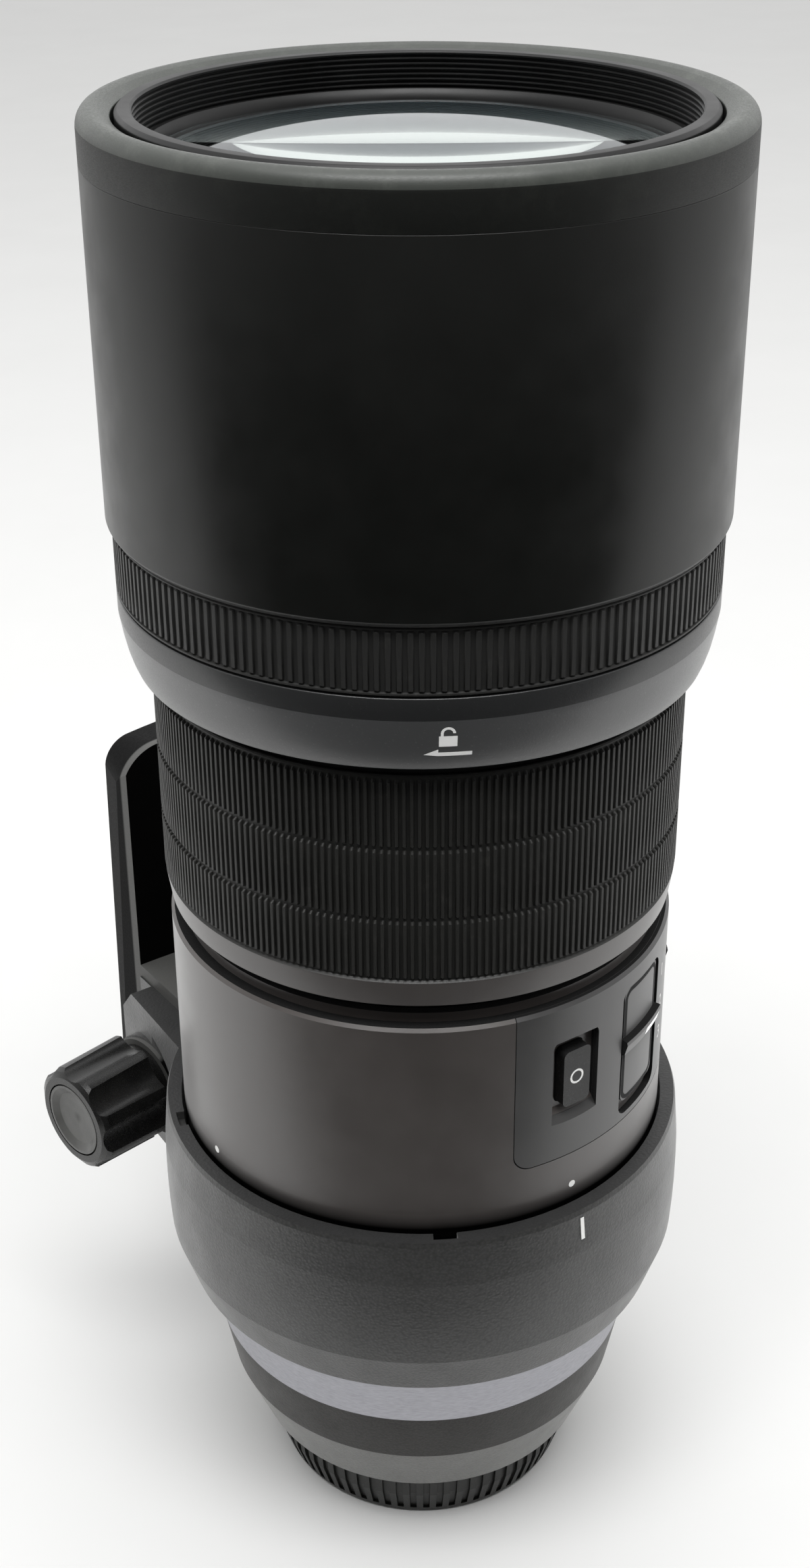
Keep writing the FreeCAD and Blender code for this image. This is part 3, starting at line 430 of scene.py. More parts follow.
@dataclass(frozen=True)
class MouldedPlastic:
    """Moulded polycarbonate of the cap, knob and keys."""

    tone: str = "1b1b1c"
    light: str = "262627"
    rough: float = 0.4
    grain_mm: float = 0.18
    depth_mm: float = 0.012
    cloud_mm: float = 4.0

    def material(self, name: str) -> bpy.types.Material:
        """A fine moulded grain that spreads the highlights a little.

        Args:
            name: The material's name.

        Returns:
            The material.
        """
        g = Graph(name)
        cloud = g.add(Kind.NOISE, Vector=g.place, Scale=1 / self.cloud_mm, Detail=3.0)
        grain = g.add(Kind.NOISE, Vector=g.place, Scale=1 / self.grain_mm)
        return g.close(g.add(
            Kind.SURFACE,
            Base_Color=g.add(Kind.MIX, COLORS, Factor=g.add(Kind.RANGE, Value=cloud),
                             A=paint(self.tone), B=paint(self.light)),
            Roughness=g.add(Kind.RANGE, Value=grain, To_Min=self.rough - 0.04,
                            To_Max=self.rough + 0.08),
            Normal=g.add(Kind.BUMP, Height=grain, Distance=self.depth_mm * MM,
                         Strength=0.6)))


@dataclass(frozen=True)
class BlackFlock:
    """Short black fibres glued inside the hood."""

    tone: str = "0b0b0b"
    tip: str = "161616"
    pile_mm: float = 0.12

    def material(self, name: str) -> bpy.types.Material:
        """Deep black pile that gives almost no light back.

        Args:
            name: The material's name.

        Returns:
            The material.
        """
        g = Graph(name)
        pile = g.add(Kind.NOISE, Vector=g.place, Scale=1 / self.pile_mm)
        return g.close(g.add(
            Kind.SURFACE, Roughness=0.95, Specular_IOR_Level=0.1, Sheen_Weight=0.15,
            Base_Color=g.add(Kind.MIX, COLORS, Factor=pile, A=paint(self.tone),
                             B=paint(self.tip)),
            Normal=g.add(Kind.BUMP, Height=pile, Distance=0.08 * MM, Strength=0.8)))


@dataclass(frozen=True)
class Metal:
    """Bare metal: chrome, brushed steel, machined aluminium, gold or copper."""

    tone: str = "b9bbbd"
    shade: str = "8f9194"
    rough: float = 0.25
    turning: tuple[float, float, float] = (1.0, 1.0, 12.0)
    mark_mm: float = 1.2

    def material(self, name: str) -> bpy.types.Material:
        """Fine turning marks round the axis that draw the highlights out.

        Args:
            name: The material's name.

        Returns:
            The material.
        """
        g = Graph(name)
        drawn = g.add(Kind.MAPPING, Vector=g.place, Scale=self.turning)
        marks = g.add(Kind.NOISE, Vector=drawn, Scale=1 / self.mark_mm, Detail=3.0,
                      Roughness=0.5)
        return g.close(g.add(
            Kind.SURFACE, Metallic=1.0,
            Base_Color=g.add(Kind.MIX, COLORS, Factor=g.add(Kind.RANGE, Value=marks),
                             A=paint(self.tone), B=paint(self.shade)),
            Roughness=g.add(Kind.RANGE, Value=marks, To_Min=self.rough - 0.04,
                            To_Max=self.rough + 0.08),
            Normal=g.add(Kind.BUMP, Height=marks, Distance=0.004 * MM, Strength=0.4)))


@dataclass(frozen=True)
class CoatedGlass:
    """Dense optical glass with a thin blue-green anti-reflection coating."""

    tone: str = "e4efec"
    clean: str = "f3f6f5"
    coat: str = "b8cfe0"
    haze_mm: float = 14.0

    def material(self, name: str) -> bpy.types.Material:
        """Clear and polished, with a faint haze and bluish reflections.

        Args:
            name: The material's name.

        Returns:
            The material.
        """
        g = Graph(name)
        haze = g.add(Kind.NOISE, Vector=g.place, Scale=1 / self.haze_mm)
        return g.close(g.add(
            Kind.SURFACE, Transmission_Weight=1.0, IOR=1.75, Specular_Tint=paint(self.coat),
            Base_Color=g.add(Kind.MIX, COLORS, A=paint(self.tone), B=paint(self.clean),
                             Factor=g.add(Kind.RANGE, Value=haze, To_Max=0.4)),
            Roughness=g.add(Kind.RANGE, Value=haze, To_Max=0.012)))


@dataclass(frozen=True)
class CircuitLacquer:
    """Green solder lacquer over fine copper tracks."""

    tone: str = "0f4a25"
    track: str = "2f6a36"
    tracks_per_mm: float = 0.7
    cloud_mm: float = 3.0

    def material(self, name: str) -> bpy.types.Material:
        """Glossy green, crossed by a net of paler tracks.

        Args:
            name: The material's name.

        Returns:
            The material.
        """
        g = Graph(name)
        cloud = g.add(Kind.NOISE, Vector=g.place, Scale=1 / self.cloud_mm, Detail=4.0)
        return g.close(g.add(
            Kind.SURFACE,
            Base_Color=g.add(Kind.BRICKS, Vector=g.place, Color1=paint(self.tone),
                             Color2=paint(self.tone), Mortar=paint(self.track),
                             Scale=self.tracks_per_mm, Mortar_Size=0.05),
            Roughness=g.add(Kind.RANGE, Value=cloud, To_Min=0.25, To_Max=0.35)))


@dataclass(frozen=True)
class WhitePrint:
    """Screen-printed white ink; it glows a little, to stay white on a shaded side."""

    tone: str = "f6f6f2"
    thin: str = "e2e2dd"
    glow: float = 0.28
    ink_mm: float = 0.5

    def material(self, name: str) -> bpy.types.Material:
        """Bright flat white, greyer where the ink lies thin.

        Args:
            name: The material's name.

        Returns:
            The material.
        """
        g = Graph(name)
        ink = g.add(Kind.NOISE, Vector=g.place, Scale=1 / self.ink_mm, Detail=3.0)
        return g.close(g.add(
            Kind.SURFACE, Emission_Strength=self.glow,
            Base_Color=g.add(Kind.MIX, COLORS, Factor=g.add(Kind.RANGE, Value=ink),
                             A=paint(self.tone), B=paint(self.thin)),
            Roughness=g.add(Kind.RANGE, Value=ink, To_Min=0.45, To_Max=0.6)))


@dataclass(frozen=True)
class PalePaper:
    """Matte studio paper under and behind the lens."""

    tone: str = "ededec"
    fibre: str = "e8e8e7"
    cloud_mm: float = 60.0

    def material(self, name: str) -> bpy.types.Material:
        """Pale and even, with barely visible clouds of fibre.

        Args:
            name: The material's name.

        Returns:
            The material.
        """
        g = Graph(name)
        fibres = g.add(Kind.NOISE, Vector=g.place, Scale=1 / self.cloud_mm, Detail=3.0)
        return g.close(g.add(
            Kind.SURFACE, Roughness=0.9, Specular_IOR_Level=0.15,
            Base_Color=g.add(Kind.MIX, COLORS, Factor=fibres, A=paint(self.tone),
                             B=paint(self.fibre))))


class Finish(Enum):
    """Every finish here; its material has the same name in small letters."""

    HOOD = SatinAnodised("121311", "171816", 0.33, 0.2, 0.45)
    # The housing fades into painted shade just above the collar, from 80.2 mm down to 77.4 mm.
    HOUSING = SatinAnodised("423c39", "4a4441", 0.32, 0.2, 0.8, 0.35, (77.4, 80.2))
    INSIDE = SatinAnodised("0c0c0c", "121212", 0.42, 0.3, 0.4)
    PANEL = SatinAnodised("2c2b2b", "353434", 0.34, 0.2, 0.8, 0.25)
    REAR = CracklePaint("211f1d", "2f2d2a", 0.46, 0.4, 0.05, 0.1, 0.25)
    # Painted reflection: a paler copy of the rear barrel's paint for the lower cone, which looks
    # down at the bright floor.
    CONE = CracklePaint("484845", "5b5b57", 0.4, 0.4, 0.05)
    COLLAR = CracklePaint("262625", "3a3a39")
    # Painted shade: a darker copy of the collar's paint for its flat top land.
    COLLAR_LAND = CracklePaint("131313", "1b1b1b", 0.5)
    SHOULDER = SpeckledPaint()
    # Painted shade: a darker copy of the shoulder's paint for its upright top wall.
    SHOULDER_WALL = SpeckledPaint("222324", "424243", 0.33, 0.1)
    # The foot's casting has a painted highlight along its inner edge.
    FOOT = RubbedCasting()
    GRIP = GripRubber()
    LOCK = GripRubber("333332", "444441", 0.44)
    BUMPER = BumperRubber("141613", "262824")
    # A paler copy of the bumper's rubber for the crown: rubbed paler by wear, and lighter as
    # painted light on the top faces.
    RIM = BumperRubber("474a46", "5c5f5a", 0.4)
    CAP = MouldedPlastic("0e0f0c", "181916", 0.44, 0.25, 0.02)
    KNOB = MouldedPlastic("101010", "1b1b1a", 0.24, 0.22, 0.012)
    COVER = MouldedPlastic("545452", "626260", 0.36, 0.22, 0.016)
    KEY = MouldedPlastic("1a1a1a", "232323", 0.3, 0.3, 0.008)
    CHIP = MouldedPlastic("141414", "1f1f1f", 0.5)
    RIBBON = MouldedPlastic("8a4c12", "a5601b", 0.3)
    NYLON = MouldedPlastic("8a8a86", "989893", 0.45)
    FLOCK = BlackFlock()
    SILVER = Metal("aeaeb4", "a2a2a8", 0.4, (1.0, 1.0, 6.0))
    CHROME = Metal("d2d3d2", "b5b6b6", 0.14)
    STEEL = Metal("a9abad", "85888b", 0.3)
    BLACKENED = Metal("343436", "29292b", 0.4)
    MACHINED = Metal("96989a", "777a7d", 0.36)
    GOLD = Metal("d3ab5a", "b88d3d", 0.22)
    COPPER = Metal("a8643a", "7c4526", 0.34)
    GLASS = CoatedGlass()
    BOARD = CircuitLacquer()
    PRINT = WhitePrint()
    SWITCH_PRINT = WhitePrint(glow=0.75)
    PAPER = PalePaper()


@cache
def finish_of(finish: Finish) -> bpy.types.Material:
    """Give a finish's material, made the first time it is asked for."""
    return finish.value.material(finish.name.lower())


# Shaping helpers


def around(radius: float, azimuth: float, height: float) -> Vector:
    """A point in the lens's frame, in metres, from millimetres and an azimuth."""
    turn = math.radians(azimuth)
    return Vector((radius * math.sin(turn), -radius * math.cos(turn), height)) * MM


def round_corners(outline: Outline, steps: int = 4) -> list[tuple[float, float]]:
    """Replace the corners that carry a third value by arcs of that radius.

    Args:
        outline: Corners as radius, height and, where rounded, a corner radius.
        steps: How many straight pieces make one arc.

    Returns:
        Plain corners as radius and height.
    """
    done: list[tuple[float, float]] = []
    count = len(outline)
    for i, corner in enumerate(outline):
        here = Vector(corner[:2])
        if len(corner) < 3 or corner[2] <= 0:
            done.append((here.x, here.y))
            continue
        back = Vector(outline[i - 1][:2]) - here
        ahead = Vector(outline[(i + 1) % count][:2]) - here
        half = back.angle(ahead) / 2
        reach = min(corner[2] / math.tan(half), CORNER_SHARE * back.length,
                    CORNER_SHARE * ahead.length)
        radius = reach * math.tan(half)
        middle = here + (back.normalized() + ahead.normalized()).normalized() * (
            radius / math.sin(half))
        start = here + back.normalized() * reach - middle
        end = here + ahead.normalized() * reach - middle
        sweep = start.angle_signed(end)
        for k in range(steps + 1):
            point = middle + Matrix.Rotation(-sweep * k / steps, 2) @ start
            done.append((point.x, point.y))
    return done


def add_object(name: str, data: Any) -> bpy.types.Object:
    """Put a mesh, text, camera or lamp into the scene.

    Args:
        name: The object's name.
        data: What the object holds.

    Returns:
        The object.
    """
    thing = bpy.data.objects.new(name, data)
    bpy.context.scene.collection.objects.link(thing)
    return thing


def make_mesh(name: str, points: Sequence[Any], faces: Sequence[Any],
              sharp: float = SHARP) -> bpy.types.Object:
    """Make a smooth-shaded object whose steep edges stay sharp.

    Args:
        name: The object's name.
        points: Its points, in metres.
        faces: The point numbers of each face.
        sharp: The angle, in degrees, from which an edge is sharp.

    Returns:
        The object.
    """
    mesh = bpy.data.meshes.new(name)
    mesh.from_pydata(points, [], faces)
    shape = bmesh.new()
    shape.from_mesh(mesh)
    bmesh.ops.remove_doubles(shape, verts=shape.verts, dist=WELD)
    bmesh.ops.recalc_face_normals(shape, faces=shape.faces)
    shape.to_mesh(mesh)
    shape.free()
    mesh.shade_smooth()
    mesh.set_sharp_from_angle(angle=math.radians(sharp))
    return add_object(name, mesh)


def turned_faces(count: int, steps: int,
                 axial: frozenset[int] = frozenset()) -> list[tuple[int, int, int, int]]:
    """Join copies of an outline, set all the way round the axis, by faces.

    Args:
        count: How many corners the outline has.
        steps: How many copies stand round the axis.
        axial: Corners whose edge to the next one lies on the axis and turns into no face.

    Returns:
        The point numbers of each face.
    """
    faces = []
    for step in range(steps):
        a, b = step * count, ((step + 1) % steps) * count
        faces += [(a + i, b + i, b + (i + 1) % count, a + (i + 1) % count)
                  for i in range(count) if i not in axial]
    return faces


def lathe(name: str, outline: Outline, steps: int) -> bpy.types.Object:
    """Turn a closed outline round the optical axis.

    Args:
        name: The object's name.
        outline: Corners as radius, height and optional rounding.
        steps: How many angular steps.

    Returns:
        The turned object.
    """
    corners = round_corners(outline)
    count = len(corners)
    points = [around(r, 360 * s / steps, z) for s in range(steps) for r, z in corners]
    axial = frozenset(i for i in range(count)
                      if corners[i][0] < ON_AXIS and corners[(i + 1) % count][0] < ON_AXIS)
    return make_mesh(name, points, turned_faces(count, steps, axial))


def show(thing: bpy.types.Object, body: Body, finish: Finish, *nodes: str,
         slot: Slot | None = None) -> bpy.types.Object:
    """Dress a made piece, let it ride on a body and stand for CAD nodes.

    Args:
        thing: The piece.
        body: The body that it moves with.
        finish: What it is made of.
        nodes: The CAD nodes that it stands for.
        slot: The record's material slot of those nodes; not used.

    Returns:
        The piece.
    """
    thing.data.materials.clear()
    thing.data.materials.append(finish_of(finish))
    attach(thing, body.value)
    if nodes:
        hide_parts(*nodes)
    log.info("made %s", thing.name)
    return thing


def dress(node: str, finish: Finish, bevel_mm: float = 0.0) -> bpy.types.Object:
    """Give a CAD node its finish and, if asked, softened edges.

    Args:
        node: The node's name.
        finish: What it is made of.
        bevel_mm: The width of its softened edges.

    Returns:
        The node's object.
    """
    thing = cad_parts[node]
    thing.data.materials.clear()
    thing.data.materials.append(finish_of(finish))
    thing.data.shade_smooth()
    thing.data.set_sharp_from_angle(angle=math.radians(SHARP_CAD))
    if bevel_mm > 0:
        edge = thing.modifiers.new("edge", "BEVEL")
        edge.width = bevel_mm * MM
        edge.segments = 2
        edge.limit_method = "ANGLE"
        edge.angle_limit = math.radians(BEVEL_FROM)
        edge.harden_normals = True
    log.info("dressed %s", node)
    return thing


def refinish(thing: bpy.types.Object, finish: Finish, chosen: Choice) -> None:
    """Give some faces of a piece a finish of their own.

    Args:
        thing: The piece.
        finish: The finish of the chosen faces.
        chosen: Says whether a face is one of them.
    """
    thing.data.materials.append(finish_of(finish))
    number = len(thing.data.materials) - 1
    for face in thing.data.polygons:
        if chosen(face):
            face.material_index = number


def band(low: float, high: float, beyond: float = 0.0) -> Choice:
    """Choose the faces between two heights.

    Args:
        low: The lower height, in millimetres.
        high: The upper height.
        beyond: Faces nearer to the axis than this radius aren't chosen.

    Returns:
        A function that says whether a face is chosen.
    """
    return lambda face: (low * MM < face.center.z < high * MM
                         and face.center.xy.length > beyond * MM)


def looks_aside(face: bpy.types.MeshPolygon) -> bool:
    """Say whether a face looks anywhere but away from the axis."""
    outward = Vector((face.center.x, face.center.y, 0.0)).normalized()
    return face.normal.dot(outward) < OUTWARD


# Ribbed grips


# Across one rib: where its points lie, as shares of the pitch, and how far they stand out
# along the rib and at its pointed ends.
RIB_SPOTS = (0.0, 0.2, 0.3, 0.5, 0.7, 0.8)
RIB_FULL = (0.0, 0.0, 1.0, 1.0, 1.0, 0.0)
RIB_TIP = (0.0, 0.0, 0.0, 1.0, 0.0, 0.0)


@dataclass(frozen=True)
class RibRow:
    """A level of a ribbed outline: base radius, height, rib rise, and if ribs end there."""

    radius: float
    height: float
    rise: float = 0.0
    pointed: bool = False


def ribbed_ring(name: str, rows: Sequence[RibRow], ribs: int) -> bpy.types.Object:
    """Turn an outline whose outside carries upright ribs with pointed ends.

    Args:
        name: The object's name.
        rows: The closed outline, level by level.
        ribs: How many ribs stand round the ring.

    Returns:
        The ribbed object.
    """
    points = [around(row.radius + row.rise * (tip if row.pointed else full),
                     360 * (rib + spot) / ribs, row.height)
              for rib in range(ribs)
              for spot, full, tip in zip(RIB_SPOTS, RIB_FULL, RIB_TIP)
              for row in rows]
    faces = turned_faces(len(rows), ribs * len(RIB_SPOTS))
    return make_mesh(name, points, faces, SHARP_RIBS)


def rib_band(base: float, low: float, high: float, rise: float, tip: float) -> list[RibRow]:
    """Levels of one band of ribs from its lower to its upper end.

    Args:
        base: The radius between the ribs.
        low: The band's lower end.
        high: The band's upper end.
        rise: How far the ribs stand out.
        tip: The length of a rib's pointed end.

    Returns:
        The levels.
    """
    point, stump = 0.25 * tip, rise * 0.55
    return [RibRow(base, low), RibRow(base, low + point, stump, True),
            RibRow(base, low + tip, rise), RibRow(base, high - tip, rise),
            RibRow(base, high - point, stump, True), RibRow(base, high)]


@dataclass
class FocusRing:
    """The wide ribbed ring that turns to focus, in three bands over a smooth skirt."""

    bottom: float = 119.1
    top: float = 157.4
    outside: float = 41.0
    rise: float = 0.5
    tip: float = 0.4
    ribs: int = 238
    bands: tuple[tuple[float, float], ...] = ((124.1, 133.9), (134.3, 145.6), (146.0, 156.9))
    skirt_bore: float = 39.4
    skirt_foot: float = 40.1
    skirt_top: float = 123.45
    skirt_skin: float = 40.35
    seat_bore: float = 38.18
    seat_low: float = 122.7
    seat_high: float = 146.8
    top_bore: float = 39.9

    def build(self) -> None:
        """Make the ribbed ring, whose skirt has the housing's finish outside."""
        base = self.outside - self.rise
        rows = [RibRow(self.skirt_bore, self.seat_low), RibRow(self.skirt_bore, self.bottom),
                RibRow(self.skirt_foot, self.bottom), RibRow(40.3, self.bottom + 0.15),
                RibRow(40.88, 123.2), RibRow(40.9, 123.5), RibRow(base, 123.8)]
        for low, high in self.bands:
            rows += rib_band(base, low, high, self.rise, self.tip)
        rows += [RibRow(base, self.top - 0.2), RibRow(base - 0.2, self.top),
                 RibRow(self.top_bore, self.top), RibRow(self.top_bore, self.seat_high),
                 RibRow(self.seat_bore, self.seat_high), RibRow(self.seat_bore, self.seat_low)]
        ring = ribbed_ring("focus_ring_ribbed", rows, self.ribs)
        show(ring, Body.FOCUS_GRIP, Finish.GRIP, "focus_ring", slot=Slot.GRIP)
        refinish(ring, Finish.HOUSING, band(0.0, self.skirt_top, self.skirt_skin))


@dataclass
class Hood:
    """The hood, pushed back over the front barrel, and its lock ring."""

    radius: float = 46.25
    wall: float = 1.2
    bottom: float = 182.0
    seam: float = 232.9
    rim: float = 239.7
    neck_bottom: float = 172.2
    neck_in: float = 42.88
    neck_out: float = 44.3
    crown_width: float = 1.9
    crown_foot: float = 2.0
    crown_rise: float = 2.4
    crown_steps: int = 8
    lock_bore: float = 44.38
    lock_base: float = 45.02
    lock_foot: float = 171.9
    lock_top: float = 181.7
    lock_ribs: int = 190
    steps: int = 320

    def build(self) -> None:
        """Make the tube and its bumper, dress the lining and make the lock ring."""
        self.build_tube()
        self.build_bumper()
        dress("hood_liner", Finish.FLOCK)
        self.build_lock()

    def build_tube(self) -> None:
        """The thin tube, and the neck that slides on the front barrel."""
        inside = self.radius - self.wall
        tube = lathe("hood_tube_turned", [
            (self.neck_in, self.neck_bottom), (self.neck_out, self.neck_bottom),
            (self.neck_out, self.bottom), (self.radius - 0.7, self.bottom),
            (self.radius, self.bottom + 0.8, 0.5), (self.radius, self.seam, 0.12),
            (inside, self.seam), (inside, self.bottom + 2), (self.neck_in, self.bottom + 2)],
            self.steps)
        show(tube, Body.HOOD, Finish.HOOD, "hood_tube", slot=Slot.ANODISED)

    def build_bumper(self) -> None:
        """The rubber rim, whose crown is a quarter of an ellipse and is paler, both from wear and
        from light painted on its top.
        """
        turns = [math.radians(90 * k / self.crown_steps) for k in range(self.crown_steps + 1)]
        crown = [(self.radius - self.crown_width + self.crown_width * math.sin(t),
                  self.rim - self.crown_foot + self.crown_rise * math.cos(t)) for t in turns]
        bore = self.radius - self.wall - 0.6
        bumper = lathe("hood_bumper_turned", [
            (41.5, self.seam + 1.7), (41.5, self.rim - 0.8, 0.3), (43.1, self.rim + 0.1, 0.5),
            (44.0, self.rim + 0.4), *crown, (self.radius, self.seam, 0.12),
            (bore, self.seam), (bore, self.seam + 1.7)], self.steps)
        show(bumper, Body.HOOD, Finish.BUMPER, "hood_bumper", slot=Slot.BUMPER)
        refinish(bumper, Finish.RIM, band(self.rim - 1.45, self.rim + 1.0))

    def build_lock(self) -> None:
        """The ribbed ring round the neck, between two smooth lips."""
        base = self.lock_base
        rows = [RibRow(self.lock_bore, self.lock_foot), RibRow(45.2, self.lock_foot),
                RibRow(45.4, 172.05), RibRow(45.4, 172.3), RibRow(base, 172.4)]
        rows += rib_band(base, 172.45, 181.3, 0.38, 0.25)
        rows += [RibRow(45.3, 181.4), RibRow(45.3, 181.55), RibRow(45.15, self.lock_top),
                 RibRow(self.lock_bore, self.lock_top)]
        ring = ribbed_ring("lock_ring_ribbed", rows, self.lock_ribs)
        show(ring, Body.HOOD_LOCK, Finish.LOCK, "hood_lock_ring", slot=Slot.ANODISED)


@dataclass
class FrontGroup:
    """Shoulder ring, front barrel with its filter thread, and the front glass."""

    shoulder: Outline = (
        (35.0, 160.0), (43.4, 160.0, 0.35), (44.0, 161.5), (44.5, 163.2), (44.93, 165.3),
        (45.2, 167.0), (45.4, 168.3), (45.4, 171.6, 0.2), (43.1, 171.6), (43.1, 162.0),
        (35.0, 162.0))
    shoulder_wall: tuple[float, float] = (168.3, 172.0)
    retainer: Outline = (
        (36.7, 232.9), (38.37, 232.9), (38.37, 234.4, 0.15), (37.6, 234.4, 0.2),
        (36.9, 233.6))
    top: float = 239.7
    thread_crest: float = 38.6
    thread_height: float = 0.4
    thread_pitch: float = 0.75
    thread_depth: float = 5.4
    glass_rim: float = 36.7
    glass_edge: float = 37.3
    glass_back: float = 34.9
    rim_height: float = 232.9
    front_rise: float = 3.7
    back_height: float = 224.5
    back_apex: float = 222.6

    def build(self) -> None:
        """Make the turned pieces and the front glass, and dress the cells behind it."""
        shoulder = lathe("shoulder_ring_turned", self.shoulder, 320)
        show(shoulder, Body.BARREL, Finish.SHOULDER, "shoulder_ring", slot=Slot.ANODISED)
        # The upright wall at the top gets a darker copy of the paint as painted shade.
        refinish(shoulder, Finish.SHOULDER_WALL, band(*self.shoulder_wall))
        self.build_barrel()
        ring = lathe("front_retainer_turned", self.retainer, 240)
        show(ring, Body.BARREL, Finish.INSIDE, "front_retainer", slot=Slot.ANODISED)
        self.build_glass()
        for node in ("front_cell", "second_cell", "light_baffle"):
            dress(node, Finish.INSIDE)
        dress("second_element", Finish.GLASS)

    def build_barrel(self) -> None:
        """The barrel's outside slides in the hood; its mouth has the thread."""
        crest, root = self.thread_crest, self.thread_crest + self.thread_height
        thread = []
        z = self.top - 0.55
        while z > self.top - self.thread_depth:
            thread += [(crest, z), (root, z - 0.3 * self.thread_pitch),
                       (root, z - 0.45 * self.thread_pitch), (crest, z - 0.8 * self.thread_pitch)]
            z -= self.thread_pitch
        barrel = lathe("front_barrel_turned", [
            (36.0, 162.0), (42.8, 162.0), (42.8, 228.6), (41.0, 228.6),
            (41.0, self.top - 0.5, 0.3), (40.5, self.top, 0.2), (38.9, self.top, 0.15),
            (crest, self.top - 0.3), *thread, (crest, z), (38.4, z), (38.4, 214.0),
            (36.6, 214.0), (36.6, 212.0), (40.4, 212.0), (40.4, 165.0), (36.0, 165.0)], 280)
        show(barrel, Body.BARREL, Finish.INSIDE, "front_barrel", slot=Slot.ANODISED)

    def build_glass(self) -> None:
        """A meniscus element: domed in front, gently curved behind."""
        rings = 22
        turns = [math.cos(math.pi / 2 * k / rings) for k in range(rings)]
        front = [(self.glass_rim * c, self.rim_height + self.front_rise * (1 - c ** 2))
                 for c in turns] + [(0.0, self.rim_height + self.front_rise)]
        hollow = self.back_height - self.back_apex
        back = [(self.glass_back * k / 10, self.back_apex + hollow * (k / 10) ** 2)
                for k in range(11)]
        glass = lathe("front_element_turned", [
            *back, (self.glass_edge, self.back_height), (self.glass_edge, self.rim_height),
            *front], 200)
        show(glass, Body.BARREL, Finish.GLASS, "front_element", slot=Slot.GLASS)


@dataclass
class RearGroup:
    """The tapered rear barrel, painted above and below a bare band, its lower cone paler as a
    painted reflection of the floor, and the rear cap.
    """

    outline: Outline = (
        (29.4, 11.5), (30.0, 11.5, 0.2), (34.5, 22.7, 0.8), (36.5, 33.0, 0.8),
        (37.15, 37.0), (38.0, 41.2), (38.9, 44.6), (39.6, 45.0, 0.2), (39.6, 70.6),
        (36.4, 70.6), (36.4, 43.0), (34.2, 33.0), (32.2, 22.7), (29.8, 17.4), (22.6, 17.4),
        (22.6, 14.4), (29.4, 14.4))
    cone: tuple[float, float] = (0.0, 22.7)
    bare: tuple[float, float] = (33.0, 44.8)

    def build(self) -> None:
        """Make the barrel with its three finishes and dress the cap."""
        barrel = lathe("rear_barrel_turned", self.outline, 280)
        show(barrel, Body.BARREL, Finish.REAR, "rear_barrel", slot=Slot.CRACKLE)
        # The lower cone gets the paler paint as a painted reflection of the floor.
        refinish(barrel, Finish.CONE, band(*self.cone))
        refinish(barrel, Finish.SILVER, band(*self.bare))
        dress("rear_cap", Finish.CAP, 0.12)


# Printed marks


def polygon_mesh(name: str, shapes: Sequence[Polygon],
                 place: Callable[[float, float], Any]) -> bpy.types.Mesh:
    """Make a mesh of separate filled polygons.

    Args:
        name: The mesh's name.
        shapes: The corners of each polygon.
        place: Gives a corner's point in space.

    Returns:
        The mesh.
    """
    mesh = bpy.data.meshes.new(name)
    points: list[Any] = []
    faces = []
    for shape in shapes:
        faces.append(tuple(range(len(points), len(points) + len(shape))))
        points += [place(x, y) for x, y in shape]
    mesh.from_pydata(points, [], faces)
    return mesh


@dataclass
class Printer:
    """Lays a thin skin, mostly white ink, on a round or conical surface."""

    skin_mm: float = 0.018
    finish: Finish = Finish.PRINT
    strip_mm: float = 0.6

    def wrap(self, name: str, mesh: bpy.types.Mesh, body: Body, azimuth: float, height: float,
             radius: float, slope: float = 0.0) -> None:
        """Cut a flat mesh, drawn in millimetres, into strips and bend it on to the surface.

        Args:
            name: The mark's name.
            mesh: A flat mesh in the XY plane.
            body: The body that carries the mark.
            azimuth: Middle of the mark round the axis.
            height: Middle of the mark along the axis.
            radius: The surface's radius at that height.
            slope: How much the radius grows per millimetre of height.
        """
        shape = bmesh.new()
        shape.from_mesh(mesh)
        cut = min(v.co.x for v in shape.verts) + self.strip_mm
        high = max(v.co.x for v in shape.verts)
        while cut < high:
            bmesh.ops.bisect_plane(
                shape, geom=shape.verts[:] + shape.edges[:] + shape.faces[:],
                plane_co=(cut, 0, 0), plane_no=(1, 0, 0))
            cut += self.strip_mm
        for v in shape.verts:
            r = radius + slope * v.co.y + self.skin_mm
            v.co = around(r, azimuth + math.degrees(v.co.x / radius), height + v.co.y)
        shape.to_mesh(mesh)
        shape.free()
        show(add_object(name, mesh), body, self.finish)

    def polygons(self, name: str, shapes: Sequence[Polygon], body: Body, azimuth: float,
                 height: float, radius: float, slope: float = 0.0) -> None:
        """Print filled polygons.

        Args:
            name: The mark's name.
            shapes: The corners of each polygon, in millimetres.
            body: The body that carries the mark.
            azimuth: Middle of the mark round the axis.
            height: Middle of the mark along the axis.
            radius: The surface's radius at that height.
            slope: How much the radius grows per millimetre of height.
        """
        mesh = polygon_mesh(name, shapes, lambda x, y: (x, y, 0.0))
        self.wrap(name, mesh, body, azimuth, height, radius, slope)

    def figure(self, name: str, text: str, size: float, body: Body, azimuth: float,
               height: float, radius: float) -> None:
        """Print a plain number.

        Args:
            name: The mark's name.
            text: The number.
            size: Its size, in millimetres.
            body: The body that carries the mark.
            azimuth: Middle of the mark round the axis.
            height: Middle of the mark along the axis.
            radius: The surface's radius.
        """
        curve = bpy.data.curves.new(name, "FONT")
        curve.body = text
        curve.size = size
        curve.align_x = "CENTER"
        curve.align_y = "CENTER"
        maker = add_object(name + "_maker", curve)
        bpy.context.view_layer.update()
        mesh = bpy.data.meshes.new_from_object(
            maker.evaluated_get(bpy.context.evaluated_depsgraph_get()))
        bpy.data.objects.remove(maker)
        self.wrap(name, mesh, body, azimuth, height, radius)


